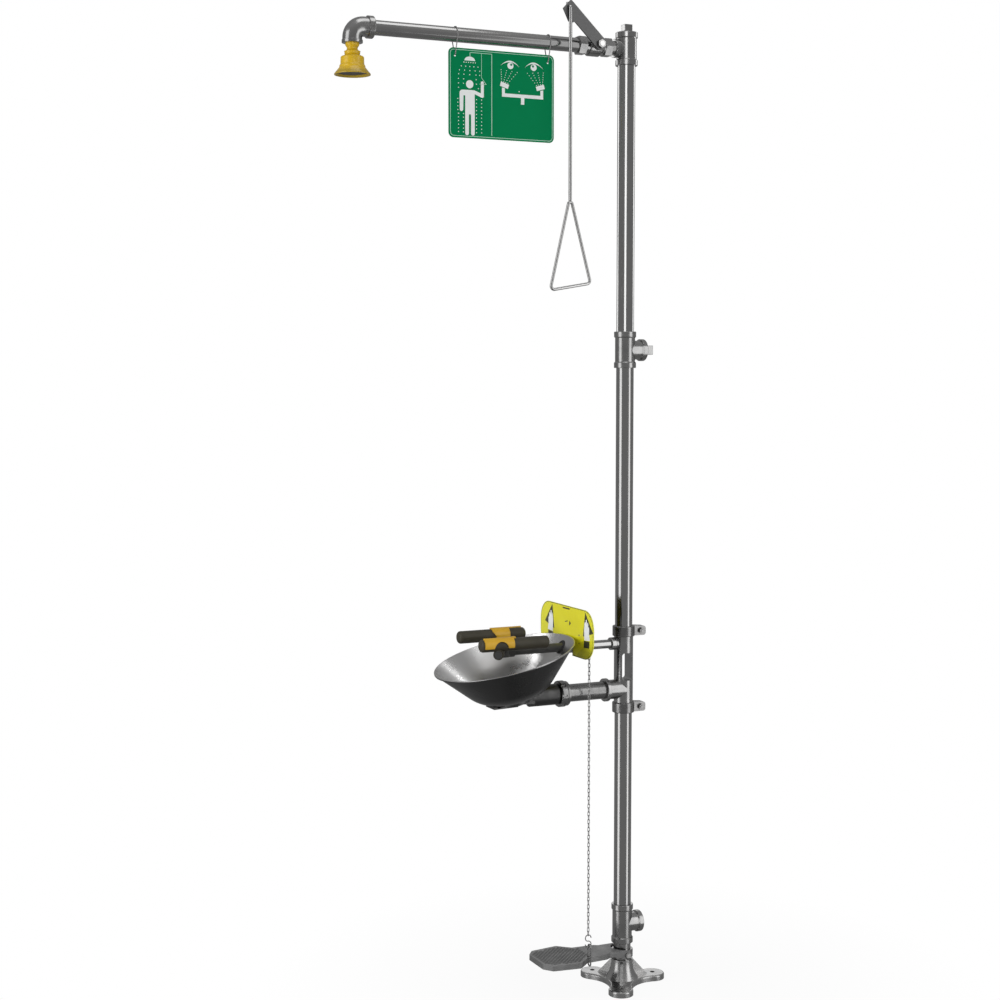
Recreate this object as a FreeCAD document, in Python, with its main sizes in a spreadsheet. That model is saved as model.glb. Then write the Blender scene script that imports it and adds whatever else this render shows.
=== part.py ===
import FreeCAD, Part
import math
import os
import re

import Sketcher

# Combination drench shower and eyewash station, in millimetres.
# Origin: on the floor, on the stanchion's axis.  +Z is up.  The shower arm, the bowl and the treadle
# point towards -Y, the side the user stands on.  The supply and waste outlets point towards +Y.

DIMENSIONS = {
    # threaded pipe, three nominal sizes
    "pole_od": 42.16,
    "pole_bore": 35.05,
    "arm_od": 33.4,
    "arm_bore": 26.64,
    "feed_od": 21.34,
    "feed_bore": 15.8,
    "thread_gap": 0.05,
    "thread_depth": 14,
    "run_gap": 0.05,
    # floor base
    "lobe_turn": -30,
    "lobe_centre": 85,
    "lobe_radius": 30,
    "hollow_radius": 74.08,
    "base_thickness": 14,
    "base_edge": 4,
    "hub_foot_radius": 41,
    "hub_top_radius": 26.5,
    "hub_height": 62,
    "hub_socket": 24,
    "rib_thickness": 7,
    "rib_reach": 68,
    "anchor_circle": 172,
    "anchor_hole": 11,
    # stanchion fittings, seen from the floor up
    "band_radius": 26.5,
    "tee_radius": 24,
    "waste_tee_z": 103,
    "waste_tee_length": 96,
    "waste_tee_reach": 48,
    "pedestal_z": 675,
    "pedestal_length": 212,
    "pedestal_radius": 23.2,
    "window_low": 755,
    "window_high": 822,
    "window_width": 27,
    "waste_z": 732.5,
    "feed_z": 844.5,
    "clamp_height": 25,
    "clamp_radius": 27,
    "clamp_ear": 57,
    "supply_tee_z": 1511,
    "supply_tee_length": 87,
    "supply_tee_reach": 50,
    "top_tee_z": 2226,
    "top_tee_length": 78,
    "top_tee_reach": 36,
    "arm_z": 2265,
    # treadle and its pivot
    "pivot_z": 77,
    "collar_height": 20,
    "collar_radius": 26.5,
    "lug_inside": 27,
    "lug_thickness": 5,
    "lug_radius": 11,
    "pivot_pin": 8,
    "treadle_top": 90.5,
    "treadle_thickness": 13,
    "treadle_skin": 3.5,
    # shower branch
    "shower_valve_y": 46,
    "shower_valve_length": 86,
    "head_y": 690,
    "elbow_bend": 26,
    "elbow_radius": 22,
    "lever_x": 36,
    "lever_length": 122.5,
    "lever_width": 29.5,
    "lever_thickness": 4,
    "lever_angle": 46.5,
    "rod_hole": 114.5,
    "rod_diameter": 7.9,
    "rod_x": 45.5,
    "rod_drop": 445,
    "handle_wire": 7,
    "handle_slope": 9.7,
    "handle_drop": 208.2,
    "handle_left": 87.4,
    "handle_right": 19.1,
    # safety sign
    "sign_width": 266.5,
    "sign_height": 201.5,
    "sign_thickness": 2,
    "sign_y": 326,
    "sign_top": 2236.3,
    "sign_corner": 12,
    "sign_hole": 5,
    "wire_diameter": 2.4,
    # bowl and drain
    "bowl_y": 319.4,
    "bowl_z": 832.2,
    "bowl_tilt": 14,
    "bowl_radius": 170.5,
    "bowl_depth": 106,
    "bowl_wall": 1.6,
    "bowl_floor_radius": 33.4,
    "bowl_slope": 48.5,
    "bowl_corner": 95,
    "drain_hole": 44,
    "feed_hole": 29,
    "feed_hole_y": -169,
    "union_y": 180,
    # eyewash valve and paddle
    "eye_valve_y": 104,
    "eye_valve_length": 52,
    "paddle_left": 151.5,
    "paddle_right": 127.5,
    "paddle_height": 116.5,
    "paddle_low": 826,
    "paddle_y": 150,
    "paddle_thickness": 2.5,
    "paddle_corner": 45,
    # spray assembly
    "spray_y": 324,
    "spray_x": 72,
    "spray_z": 873,
    "bar_diameter": 30,
    "bar_length": 174,
    "bar_shift": 3.4,
    "bar_wall": 3,
    "inlet_offset": 42,
    "cross_z": 852,
    "cross_diameter": 18,
    # chain, hook and link
    "chain_x": 40,
    "chain_y": 114.6,
    "chain_wire": 1.8,
    "chain_width": 6.4,
    "chain_eye_y": 15.4,
    "chain_eye_z": 12,
    "hook_wire": 2.5,
    "hook_loop": 7.65,
    "hook_z": 130.95,
    "link_wire": 3.5,
    "link_y": 111.4,
    "link_top": 122.5,
    "link_bottom": 70,
    "link_radius": 6.5,
}

document = FreeCAD.newDocument("eyewash_station")
sheet = document.addObject("Spreadsheet::Sheet", "dims")
for row, (alias, number) in enumerate(DIMENSIONS.items(), start=1):
    sheet.set(f"A{row}", alias)
    sheet.set(f"B{row}", str(number))
    sheet.setAlias(f"B{row}", alias)
document.recompute()

NODES = {}


# ---------------------------------------------------------------- sizes and placements

def size(expression):
    """Value of an expression over the sheet's aliases."""
    if isinstance(expression, (int, float)):
        return float(expression)
    return float(sheet.evalExpression(expression))


def bind(item, name, expression):
    """Tie a property to the sheet, or set it when it is a plain number."""
    if isinstance(expression, (int, float)):
        expression = repr(float(expression))
    names = "|".join(sorted(DIMENSIONS, key=len, reverse=True))
    item.setExpression(name, re.sub(rf"\b({names})\b", r"dims.\1", expression))


def place(item, x=0, y=0, z=0, axis=(0, 0, 1), angle=0, yaw=0):
    """Give an object its place and turn, with the place tied to the sheet; yaw is a last turn about Z."""
    turn = FreeCAD.Rotation(FreeCAD.Vector(*axis), size(angle))
    turn = FreeCAD.Rotation(FreeCAD.Vector(0, 0, 1), size(yaw)).multiply(turn)
    item.Placement = FreeCAD.Placement(FreeCAD.Vector(size(x), size(y), size(z)), turn)
    for letter, expression in zip("xyz", (x, y, z)):
        bind(item, f"Placement.Base.{letter}", expression)
    return item


def node(label, item):
    """Record a finished sub-part under its own label."""
    item.Label = label
    NODES[label] = item
    return item


def gather(label, items):
    """One node that holds several identical, separate solids."""
    group = document.addObject("Part::Compound", label)
    group.Links = items
    return node(label, group)


# ---------------------------------------------------------------- sketches and features

def new_body(name):
    return document.addObject("PartDesign::Body", name)


def new_sketch(body, role, offset=0, across=0, along=0):
    """Sketch on one of the body's origin planes, moved by offsets along its own axes."""
    item = body.newObject("Sketcher::SketchObject", "sketch")
    plane = next(p for p in body.Origin.OriginFeatures if p.Role == role)
    item.AttachmentSupport = [(plane, "")]
    item.MapMode = "FlatFace"
    for letter, expression in zip("xyz", (across, along, offset)):
        if expression != 0:
            bind(item, f"AttachmentOffset.Base.{letter}", expression)
    document.recompute()
    return item


def pin_point(sketch, geometry, point, x, y):
    """Dimension one point of a sketch from the sketch's origin."""
    for kind, expression, axis in (("DistanceX", x, -2), ("DistanceY", y, -1)):
        value = size(expression)
        if abs(value) < 1e-9:
            sketch.addConstraint(Sketcher.Constraint("PointOnObject", geometry, point, axis))
            continue
        index = sketch.addConstraint(Sketcher.Constraint(kind, -1, 1, geometry, point, value))
        if isinstance(expression, str):
            bind(sketch, f"Constraints[{index}]", expression)


def arc_between(first, last, radius):
    """Minor arc; a positive radius has its centre on the left of first to last."""
    chord = last.sub(first)
    rise = math.sqrt(max(radius * radius - chord.Length * chord.Length / 4, 0))
    side = FreeCAD.Vector(-chord.y, chord.x, 0).normalize()
    middle = first.add(chord.multiply(0.5))
    centre = middle.add(side.multiply(rise if radius > 0 else -rise))
    start, end = (first, last) if radius > 0 else (last, first)
    angles = [math.atan2(p.y - centre.y, p.x - centre.x) for p in (start, end)]
    circle = Part.Circle(centre, FreeCAD.Vector(0, 0, 1), abs(radius))
    return Part.ArcOfCircle(circle, *angles)


def draw(sketch, points, closed=True):
    """Outline of lines and arcs.  A point is (x, y), or (x, y, radius) when an arc arrives at it."""
    spots = [FreeCAD.Vector(size(p[0]), size(p[1]), 0) for p in points]
    count = len(points) if closed else len(points) - 1
    ends = []
    for index in range(count):
        target = points[(index + 1) % len(points)]
        first, last = spots[index], spots[(index + 1) % len(points)]
        if len(target) == 3:
            radius = size(target[2])
            geometry = sketch.addGeometry(arc_between(first, last, radius))
            order = (1, 2) if radius > 0 else (2, 1)
            if isinstance(target[2], str) and radius > 0:
                row = sketch.addConstraint(Sketcher.Constraint("Radius", geometry, radius))
                bind(sketch, f"Constraints[{row}]", target[2])
            else:
                sketch.addConstraint(Sketcher.Constraint("Radius", geometry, abs(radius)))
        else:
            geometry = sketch.addGeometry(Part.LineSegment(first, last))
            order = (1, 2)
        ends.append((geometry, *order))
    for index, (geometry, start, end) in enumerate(ends):
        pin_point(sketch, geometry, start, *points[index][:2])
        if index + 1 < len(ends) or closed:
            after = ends[(index + 1) % len(ends)]
            sketch.addConstraint(Sketcher.Constraint("Coincident", geometry, end, after[0], after[1]))
        else:
            pin_point(sketch, geometry, end, *points[-1][:2])
    return sketch


def draw_circle(sketch, x, y, diameter):
    centre = FreeCAD.Vector(size(x), size(y), 0)
    circle = Part.Circle(centre, FreeCAD.Vector(0, 0, 1), size(diameter) / 2)
    geometry = sketch.addGeometry(circle)
    pin_point(sketch, geometry, 3, x, y)
    row = sketch.addConstraint(Sketcher.Constraint("Diameter", geometry, size(diameter)))
    bind(sketch, f"Constraints[{row}]", diameter)
    return sketch


def turn_profile(body, points, role="XZ_Plane", axis="V_Axis", remove=False, along=0):
    """Turn a closed outline about one of its sketch's axes, to add or to remove material."""
    sketch = draw(new_sketch(body, role, along=along), points)
    feature = body.newObject("PartDesign::Groove" if remove else "PartDesign::Revolution", "turned")
    feature.Profile = sketch
    feature.ReferenceAxis = (sketch, [axis])
    feature.Angle = 360
    document.recompute()
    return feature


def extrude(body, sketch, length, remove=False, symmetric=False, reverse=False):
    """Pad or pocket a sketch; a length of None cuts through everything."""
    feature = body.newObject("PartDesign::Pocket" if remove else "PartDesign::Pad", "extruded")
    feature.Profile = sketch
    feature.Reversed = reverse
    if symmetric:
        feature.SideType = "Symmetric"
    if length is None:
        feature.Type = "ThroughAll"
    else:
        bind(feature, "Length", length)
    document.recompute()
    return feature


def repeat_round(body, feature, count):
    """Repeat a feature about the body's Z axis."""
    pattern = body.newObject("PartDesign::PolarPattern", "around")
    pattern.Originals = [feature]
    axis = next(p for p in body.Origin.OriginFeatures if p.Role == "Z_Axis")
    pattern.Axis = (axis, [""])
    pattern.Angle = 360
    pattern.Occurrences = count
    body.Tip = pattern
    document.recompute()
    return pattern


def round_edges(body, radius, wanted):
    """Fillet the edges of the body that a test accepts."""
    tip = body.Tip
    names = [f"Edge{i}" for i, edge in enumerate(tip.Shape.Edges, start=1) if wanted(edge)]
    if not names:
        raise ValueError(f"{body.Label}: no edge to round")
    feature = body.newObject("PartDesign::Fillet", "rounded")
    feature.Base = (tip, names)
    bind(feature, "Radius", radius)
    document.recompute()
    return feature


# ---------------------------------------------------------------- primitives and booleans

def primitive(kind, name, **sizes):
    item = document.addObject(f"Part::{kind}", name)
    for key, expression in sizes.items():
        bind(item, key, expression)
    return item


def boolean(kind, name, base, tool):
    item = document.addObject(f"Part::{kind}", name)
    item.Base = base
    item.Tool = tool
    return item


def fuse(name, parts):
    item = document.addObject("Part::MultiFuse", name)
    item.Shapes = parts
    item.Refine = True
    return item


def rod(name, diameter, length, **spot):
    """Round bar that starts at a point; unturned, it runs along +Z."""
    item = primitive("Cylinder", name, Radius=f"({diameter}) / 2", Height=length)
    return place(item, **spot)


TO_FRONT = {"axis": (1, 0, 0), "angle": 90}
TO_BACK = {"axis": (1, 0, 0), "angle": -90}
TO_RIGHT = {"axis": (0, 1, 0), "angle": 90}


def pipe(label, od, bore, length, x=0, y=0, z=0, axis=(0, 0, 1), angle=0):
    """Length of pipe as one turned body."""
    body = new_body(label)
    wall = [(f"{bore} / 2", 0), (f"{od} / 2", 0), (f"{od} / 2", length), (f"{bore} / 2", length)]
    turn_profile(body, wall)
    place(body, x, y, z, axis, angle)
    return node(label, body)


def rounded_box(left, low, right, high, corner):
    """Outline of a rectangle with equal round corners."""
    return [(f"{left} + {corner}", low, corner), (f"{right} - {corner}", low),
            (right, f"{low} + {corner}", corner), (right, f"{high} - {corner}"),
            (f"{right} - {corner}", high, corner), (f"{left} + {corner}", high),
            (left, f"{high} - {corner}", corner), (left, f"{low} + {corner}")]


def hexagon(body, across_flats, low, length):
    """Hexagonal prism about the body's Z axis."""
    corner = f"{across_flats} / 2 / cos(30)"
    flat = f"{across_flats} / 2"
    half = f"{across_flats} / 4 / cos(30)"
    points = [(corner, 0), (half, flat), (f"-{half}", flat), (f"-{corner}", 0),
              (f"-{half}", f"-{flat}"), (half, f"-{flat}")]
    sketch = draw(new_sketch(body, "XY_Plane", offset=low), points)
    return extrude(body, sketch, length)


# ---------------------------------------------------------------- floor base and stanchion

def floor_base():
    """Three-lobed casting with a socketed hub and a web along each lobe."""
    body = new_body("floor_base")
    sketch = new_sketch(body, "XY_Plane")
    reach, lobe, hollow = (size(n) for n in ("lobe_centre", "lobe_radius", "hollow_radius"))
    half = math.radians(60)
    span = reach * math.cos(half) + math.sqrt((lobe + hollow) ** 2 - (reach * math.sin(half)) ** 2)
    lean = math.atan2(span * math.sin(half), span * math.cos(half) - reach)
    lobes, hollows = [], []
    for index in range(3):
        turn = 2 * half * index
        centre = FreeCAD.Vector(reach * math.cos(turn), reach * math.sin(turn), 0)
        circle = Part.Circle(centre, FreeCAD.Vector(0, 0, 1), lobe)
        lobes.append(sketch.addGeometry(Part.ArcOfCircle(circle, turn - lean, turn + lean)))
        between = turn + half
        centre = FreeCAD.Vector(span * math.cos(between), span * math.sin(between), 0)
        circle = Part.Circle(centre, FreeCAD.Vector(0, 0, 1), hollow)
        opening = half - (lean - math.pi)
        hollows.append(sketch.addGeometry(Part.ArcOfCircle(circle, between + opening, between - opening)))
    for index in range(3):
        after = lobes[(index + 1) % 3]
        sketch.addConstraint(Sketcher.Constraint("Tangent", lobes[index], 2, hollows[index], 2))
        sketch.addConstraint(Sketcher.Constraint("Tangent", hollows[index], 1, after, 1))
        for arc, radius in ((lobes[index], "lobe_radius"), (hollows[index], "hollow_radius")):
            row = sketch.addConstraint(Sketcher.Constraint("Radius", arc, size(radius)))
            bind(sketch, f"Constraints[{row}]", radius)
        turn = 120 * index
        pin_point(sketch, lobes[index], 3, f"lobe_centre * cos({turn})", f"lobe_centre * sin({turn})")
    extrude(body, sketch, "base_thickness")
    top = size("base_thickness")
    round_edges(body, "base_edge", lambda edge: all(abs(v.Z - top) < 0.01 for v in edge.Vertexes))
    turn_profile(body, [(0, 0), ("hub_foot_radius", 0), ("hub_foot_radius", "base_thickness - 1"),
                        ("hub_top_radius", "hub_height - 6", -70), ("hub_top_radius", "hub_height"),
                        (0, "hub_height")])
    web = [("hub_top_radius - 8", 4), ("rib_reach", 4), ("rib_reach", "base_thickness + 0.5"),
           ("hub_top_radius - 0.5", "hub_height - 2"), ("hub_top_radius - 8", "hub_height - 2")]
    rib = extrude(body, draw(new_sketch(body, "XZ_Plane"), web), "rib_thickness", symmetric=True)
    repeat_round(body, rib, 3)
    holes = draw_circle(new_sketch(body, "XY_Plane"), "anchor_circle / 2", 0, "anchor_hole")
    hole = extrude(body, holes, None, remove=True, reverse=True)
    repeat_round(body, hole, 3)
    socket = "pole_od / 2 + thread_gap"
    turn_profile(body, [(0, "hub_height - hub_socket"), (socket, "hub_height - hub_socket"),
                        (socket, "hub_height + 1"), (0, "hub_height + 1")], remove=True)
    place(body, angle="lobe_turn")
    return node("floor_base", body)


def branched_fitting(label, length, height, reach, branch_thread, z, angle=0):
    """Tee for the stanchion: banded run along Z, banded branch along local +Y."""
    body = new_body(label)
    band, half = "band_radius", f"{length} / 2"
    turn_profile(body, [(0, 0), (f"{band} - 1.5", 0), (band, 1.5, 1.5), (band, 12.5), ("tee_radius", 15),
                        ("tee_radius", f"{length} - 15"), (band, f"{length} - 12.5"),
                        (band, f"{length} - 1.5"), (f"{band} - 1.5", length, 1.5), (0, length)])
    collar = f"{branch_thread} / 2 + 5.2"
    neck = f"{branch_thread} / 2 + 1.6"
    turn_profile(body, [(0, 0), (f"{reach} - 13", 0), (reach, 0), (reach, f"{collar} - 1.5"),
                        (f"{reach} - 1.5", collar, 1.5), (f"{reach} - 11", collar),
                        (f"{reach} - 13.5", neck), (0, neck)], role="YZ_Plane", axis="H_Axis", along=height)
    thread, way = "pole_od / 2 + thread_gap", "pole_bore / 2"
    turn_profile(body, [(0, 0), (thread, 0), (thread, "thread_depth"), (way, "thread_depth"),
                        (way, f"{length} - thread_depth"), (thread, f"{length} - thread_depth"),
                        (thread, length), (0, length)], remove=True)
    thread, way = f"{branch_thread} / 2 + thread_gap", f"{branch_thread} / 2 - 3.6"
    turn_profile(body, [(0, 0), (reach, 0), (reach, thread), (f"{reach} - thread_depth", thread),
                        (f"{reach} - thread_depth", way), (0, way)],
                 role="YZ_Plane", axis="H_Axis", remove=True, along=height)
    place(body, z=z, angle=angle)
    return node(label, body)


def square_plug(label, across, head, x=0, y=0, z=0, axis=(0, 0, 1), angle=0):
    """Pipe plug: threaded shank below the origin, shoulder and square head above it."""
    body = new_body(label)
    end = "0.5 - thread_depth"
    turn_profile(body, [(0, end), ("pole_od / 2", end), ("pole_od / 2", 0.6), (f"{across} / 2 + 1", 4),
                        (0, 4)])
    half = f"{across} / 2"
    outline = [(half, half), (f"-{half}", half), (f"-{half}", f"-{half}"), (half, f"-{half}")]
    extrude(body, draw(new_sketch(body, "XY_Plane", offset=3), outline), f"{head} - 3")
    top = size(head)
    round_edges(body, 1.2, lambda edge: abs(edge.BoundBox.ZMin - top) < 0.01 or edge.BoundBox.ZLength > 8)
    place(body, x, y, z, axis, angle)
    return node(label, body)


def stanchion():
    floor_base()
    depth = "thread_depth - 0.5"
    sections = (
        ("neck_nipple", "hub_height - hub_socket + 0.5", f"waste_tee_z + {depth}"),
        ("lower_stanchion_pipe", f"waste_tee_z + waste_tee_length - ({depth})", "pedestal_z + 19.5"),
        ("middle_stanchion_pipe", "pedestal_z + pedestal_length - 19.5", f"supply_tee_z + {depth}"),
        ("upper_stanchion_pipe", f"supply_tee_z + supply_tee_length - ({depth})", f"top_tee_z + {depth}"),
    )
    for label, low, high in sections:
        pipe(label, "pole_od", "pole_bore", f"({high}) - ({low})", z=low)
    branched_fitting("waste_tee", "waste_tee_length", 47, "waste_tee_reach", "pole_od", "waste_tee_z")
    branched_fitting("supply_tee", "supply_tee_length", 43, "supply_tee_reach", "pole_od", "supply_tee_z")
    branched_fitting("top_tee", "top_tee_length", "arm_z - top_tee_z", "top_tee_reach", "arm_od",
                     "top_tee_z", angle=180)
    square_plug("supply_tee_plug", 22, 21, y="supply_tee_reach", z="supply_tee_z + 43", **TO_BACK)
    square_plug("top_tee_plug", 20.7, 18.5, z="top_tee_z + top_tee_length")


def pedestal_fitting():
    """Cast fitting that joins two stanchion pipes and carries the bowl's waste and the eyewash feed."""
    body = new_body("pedestal_fitting")
    length, radius = "pedestal_length", "pedestal_radius"
    turn_profile(body, [(0, 0), (radius, 0), (radius, length), (0, length)])
    # height, reach, length of the end collar, pipe, radius of the collar, radius of the way
    branches = (("waste_z", 55, 11, "pole_od", 28, 17.5), ("feed_z", 38, 14, "feed_od", 15.3, 8))
    for height, reach, collar_length, thread, collar, way in branches:
        neck = f"{thread} / 2 + 2.4"
        profile = [(0, 0), (-reach, 0), (-reach, collar - 1.5), (1.5 - reach, collar, -1.5),
                   (collar_length - 2 - reach, collar), (collar_length - reach, neck), (0, neck)]
        turn_profile(body, profile, role="YZ_Plane", axis="H_Axis", along=f"{height} - pedestal_z")
    window = new_sketch(body, "YZ_Plane")
    wide = "window_width / 2"
    low, high = "(window_low - pedestal_z)", "(window_high - pedestal_z)"
    draw(window, rounded_box(f"-{wide}", low, wide, high, 7))
    extrude(body, window, "pedestal_radius * 3", remove=True, symmetric=True)
    thread, way, shelf = "pole_od / 2 + thread_gap", "pole_bore / 2", 20
    turn_profile(body, [(0, 0), (thread, 0), (thread, shelf), (way, shelf), (way, f"{low} - 6"),
                        (0, f"{low} - 6")], remove=True)
    turn_profile(body, [(0, f"{high} + 6"), (way, f"{high} + 6"), (way, f"{length} - {shelf}"),
                        (thread, f"{length} - {shelf}"), (thread, length), (0, length)], remove=True)
    for height, reach, collar_length, thread, collar, way in branches:
        bore = f"{thread} / 2 + thread_gap"
        turn_profile(body, [(0, 0), (-reach, 0), (-reach, bore), (14 - reach, bore), (14 - reach, way),
                            (0, way)], role="YZ_Plane", axis="H_Axis", remove=True,
                     along=f"{height} - pedestal_z")
    place(body, z="pedestal_z")
    return node("pedestal_fitting", body)


def clamp_ring(name, z):
    """Split ring with two ears at its back."""
    body = new_body(name)
    outer, inner, tall = "clamp_radius", "pedestal_radius + 0.02", "clamp_height"
    turn_profile(body, [(inner, 0), (f"{outer} - 2", 0), (outer, 2, 2), (outer, f"{tall} - 2"),
                        (f"{outer} - 2", tall, 2), (inner, tall)])
    ears = [("pedestal_radius + 1.5", 0), ("clamp_ear - 6", 0), ("clamp_ear", 6, 6), ("clamp_ear", 14),
            ("clamp_ear - 8", f"{tall} - 2", 8), ("pedestal_radius + 1.5", tall)]
    extrude(body, draw(new_sketch(body, "YZ_Plane"), ears), 17, symmetric=True)
    slot = new_sketch(body, "XY_Plane")
    draw(slot, [(-1.5, 15), (1.5, 15), (1.5, "clamp_ear + 1"), (-1.5, "clamp_ear + 1")])
    extrude(body, slot, None, remove=True, reverse=True)
    bore = draw_circle(new_sketch(body, "YZ_Plane"), "clamp_ear - 13", 11, 8.4)
    extrude(body, bore, 40, remove=True, symmetric=True)
    return place(body, z=z)


def hex_bolt(name, shank, length, across_flats, head):
    """Bolt along local +Z, with its head below the origin."""
    body = new_body(name)
    turn_profile(body, [(0, -0.5), (f"{shank} / 2", -0.5), (f"{shank} / 2", length), (0, length)])
    hexagon(body, across_flats, -head, head)
    return body


def hex_nut(name, shank, across_flats, thickness):
    body = new_body(name)
    hexagon(body, across_flats, 0, thickness)
    extrude(body, draw_circle(new_sketch(body, "XY_Plane"), 0, 0, f"{shank} + 2 * thread_gap"), None,
            remove=True, reverse=True)
    return body


def pedestal():
    pedestal_fitting()
    heights = ("pedestal_z", "pedestal_z + pedestal_length - clamp_height")
    gather("clamp_rings", [clamp_ring("clamp_ring", z) for z in heights])
    bolts, nuts = [], []
    for z in heights:
        spot = {"y": "clamp_ear - 13", "z": f"{z} + 11", **TO_RIGHT}
        bolts.append(place(hex_bolt("bolt", 8, 25, 13, 5.3), x=-8.55, **spot))
        nuts.append(place(hex_nut("nut", 8, 13, 6.5), x=8.55, **spot))
    gather("clamp_bolts", bolts)
    gather("clamp_nuts", nuts)


# ---------------------------------------------------------------- ball valves

VALVE_SIZES = {
    # thread, ball radius, chamber radius, bonnet radius, hexagon and its length, stem radius, stem and
    # bonnet reach
    "shower": ("arm_od", 17.5, 23, 11, 40, 18, 6, 47, 30),
    "eyewash": ("feed_od", 10.5, 15.5, 9, 27, 10, 4, 49, 22),
}


def ball_valve(prefix, y, z, length):
    """Stay-open ball valve whose stem points along +X; it is drawn closed."""
    thread, ball, chamber, bonnet, flats, grip, stem, reach, nut_x = VALVE_SIZES[prefix]
    middle = f"{length} / 2"
    turn = {"y": f"-{y}", "z": z, **TO_FRONT}
    seat = ball + 1.5
    way = ball * 0.7
    bore = f"{thread} / 2 + thread_gap"

    body = new_body(f"{prefix}_valve_body")
    hexagon(body, flats, 0, grip)
    wall = [(0, grip - 1), (flats / 2 - 1, grip - 1), (flats / 2 - 1, f"{middle} - {chamber}"),
            (chamber, f"{middle} - {chamber * 0.55}", -chamber), (chamber, f"{middle} + {chamber * 0.6}"),
            (chamber - 1.5, f"{middle} + {chamber * 0.6 + 1.5}", 1.5),
            (0, f"{middle} + {chamber * 0.6 + 1.5}")]
    turn_profile(body, wall)
    turn_profile(body, [(0, 0), (nut_x + 5, 0), (nut_x + 5, bonnet - 2), (nut_x, bonnet - 2),
                        (nut_x, bonnet), (0, bonnet)], axis="H_Axis", along=middle)
    cavity = [(0, 0), (bore, 0), (bore, "thread_depth - 1"), (way, "thread_depth - 1"),
              (way, f"{middle} - {seat}"), (ball + 0.7, f"{middle} - {seat}"), (ball + 0.7, f"{length}"),
              (0, length)]
    turn_profile(body, cavity, remove=True)
    gland = f"{stem} + run_gap"
    turn_profile(body, [(0, 0), (nut_x + 6, 0), (nut_x + 6, gland), (0, gland)], axis="H_Axis", remove=True,
                 along=middle)
    node(f"{prefix}_valve_body", place(body, **turn))

    cap = new_body(f"{prefix}_valve_cap")
    step = f"{middle} + {chamber * 0.6 + 1.6}"
    turn_profile(cap, [(0, f"{middle} + {seat}"), (ball + 0.65, f"{middle} + {seat}"), (ball + 0.65, step),
                       (flats / 2 - 0.5, step), (flats / 2 - 0.5, f"{length} - {grip}"),
                       (0, f"{length} - {grip}")])
    hexagon(cap, flats, f"{length} - {grip} - 0.5", grip + 0.5)
    turn_profile(cap, [(0, f"{middle} + {seat} - 1"), (way, f"{middle} + {seat} - 1"),
                       (way, f"{length} - thread_depth + 1"), (bore, f"{length} - thread_depth + 1"),
                       (bore, f"{length} + 1"), (0, f"{length} + 1")], remove=True)
    node(f"{prefix}_valve_cap", place(cap, **turn))

    sphere = new_body(f"{prefix}_valve_ball")
    half = ball * 0.94
    edge = math.sqrt(ball * ball - half * half)
    turn_profile(sphere, [(0, -half), (edge, -half), (ball, 0, ball), (edge, half, ball), (0, half)],
                 along=middle)
    turn_profile(sphere, [(-ball - 1, 0), (ball + 1, 0), (ball + 1, way), (-ball - 1, way)],
                 role="YZ_Plane", axis="H_Axis", remove=True, along=middle)
    slot = [(ball - 4, -stem / 2 - 0.05), (ball + 1, -stem / 2 - 0.05), (ball + 1, stem / 2 + 0.05),
            (ball - 4, stem / 2 + 0.05)]
    extrude(sphere, draw(new_sketch(sphere, "XZ_Plane", along=middle), slot), 3 * ball, remove=True,
            symmetric=True)
    node(f"{prefix}_valve_ball", place(sphere, **turn))

    rings = []
    for sign, name in ((-1, "inlet_seat"), (1, "outlet_seat")):
        ring = new_body(name)
        inside = way + 0.1
        touch = ball + 0.05
        lip = ball - 1.2
        corner = max(4.5, 0.95 * stem)
        turn_profile(ring, [(inside, sign * (seat - 0.05)), (ball + 0.5, sign * (seat - 0.05)),
                            (ball + 0.5, sign * corner), (lip, sign * math.sqrt(touch ** 2 - lip ** 2)),
                            (inside, sign * math.sqrt(touch ** 2 - inside ** 2), sign * touch)],
                     along=middle)
        rings.append(place(ring, **turn))
    gather(f"{prefix}_valve_seats", rings)

    shaft = new_body(f"{prefix}_valve_stem")
    turn_profile(shaft, [(ball + 0.6, 0), (reach, 0), (reach, stem), (ball + 0.6, stem)], axis="H_Axis",
                 along=middle)
    tang = [(ball - 3.9, -stem / 2), (ball + 1, -stem / 2), (ball + 1, stem / 2), (ball - 3.9, stem / 2)]
    extrude(shaft, draw(new_sketch(shaft, "XZ_Plane", along=middle), tang), 1.5 * stem, symmetric=True)
    node(f"{prefix}_valve_stem", place(shaft, **turn))

    return {"y": f"-{y} - {middle}", "z": z}


# ---------------------------------------------------------------- shower branch

def bent_wire(name, role, points, diameter, profile_role, profile_offset, profile_spot, closed=False):
    """Round wire swept along a drawn path; the profile stands on the path's first point."""
    body = new_body(name)
    spine = draw(new_sketch(body, role), points, closed=closed)
    profile = new_sketch(body, profile_role, offset=profile_offset)
    draw_circle(profile, *profile_spot, diameter)
    sweep = body.newObject("PartDesign::AdditivePipe", "swept")
    sweep.Profile = profile
    sweep.Spine = (spine, [f"Edge{i + 1}" for i in range(spine.GeometryCount)])
    sweep.Mode = "Standard"
    document.recompute()
    return body


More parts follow.
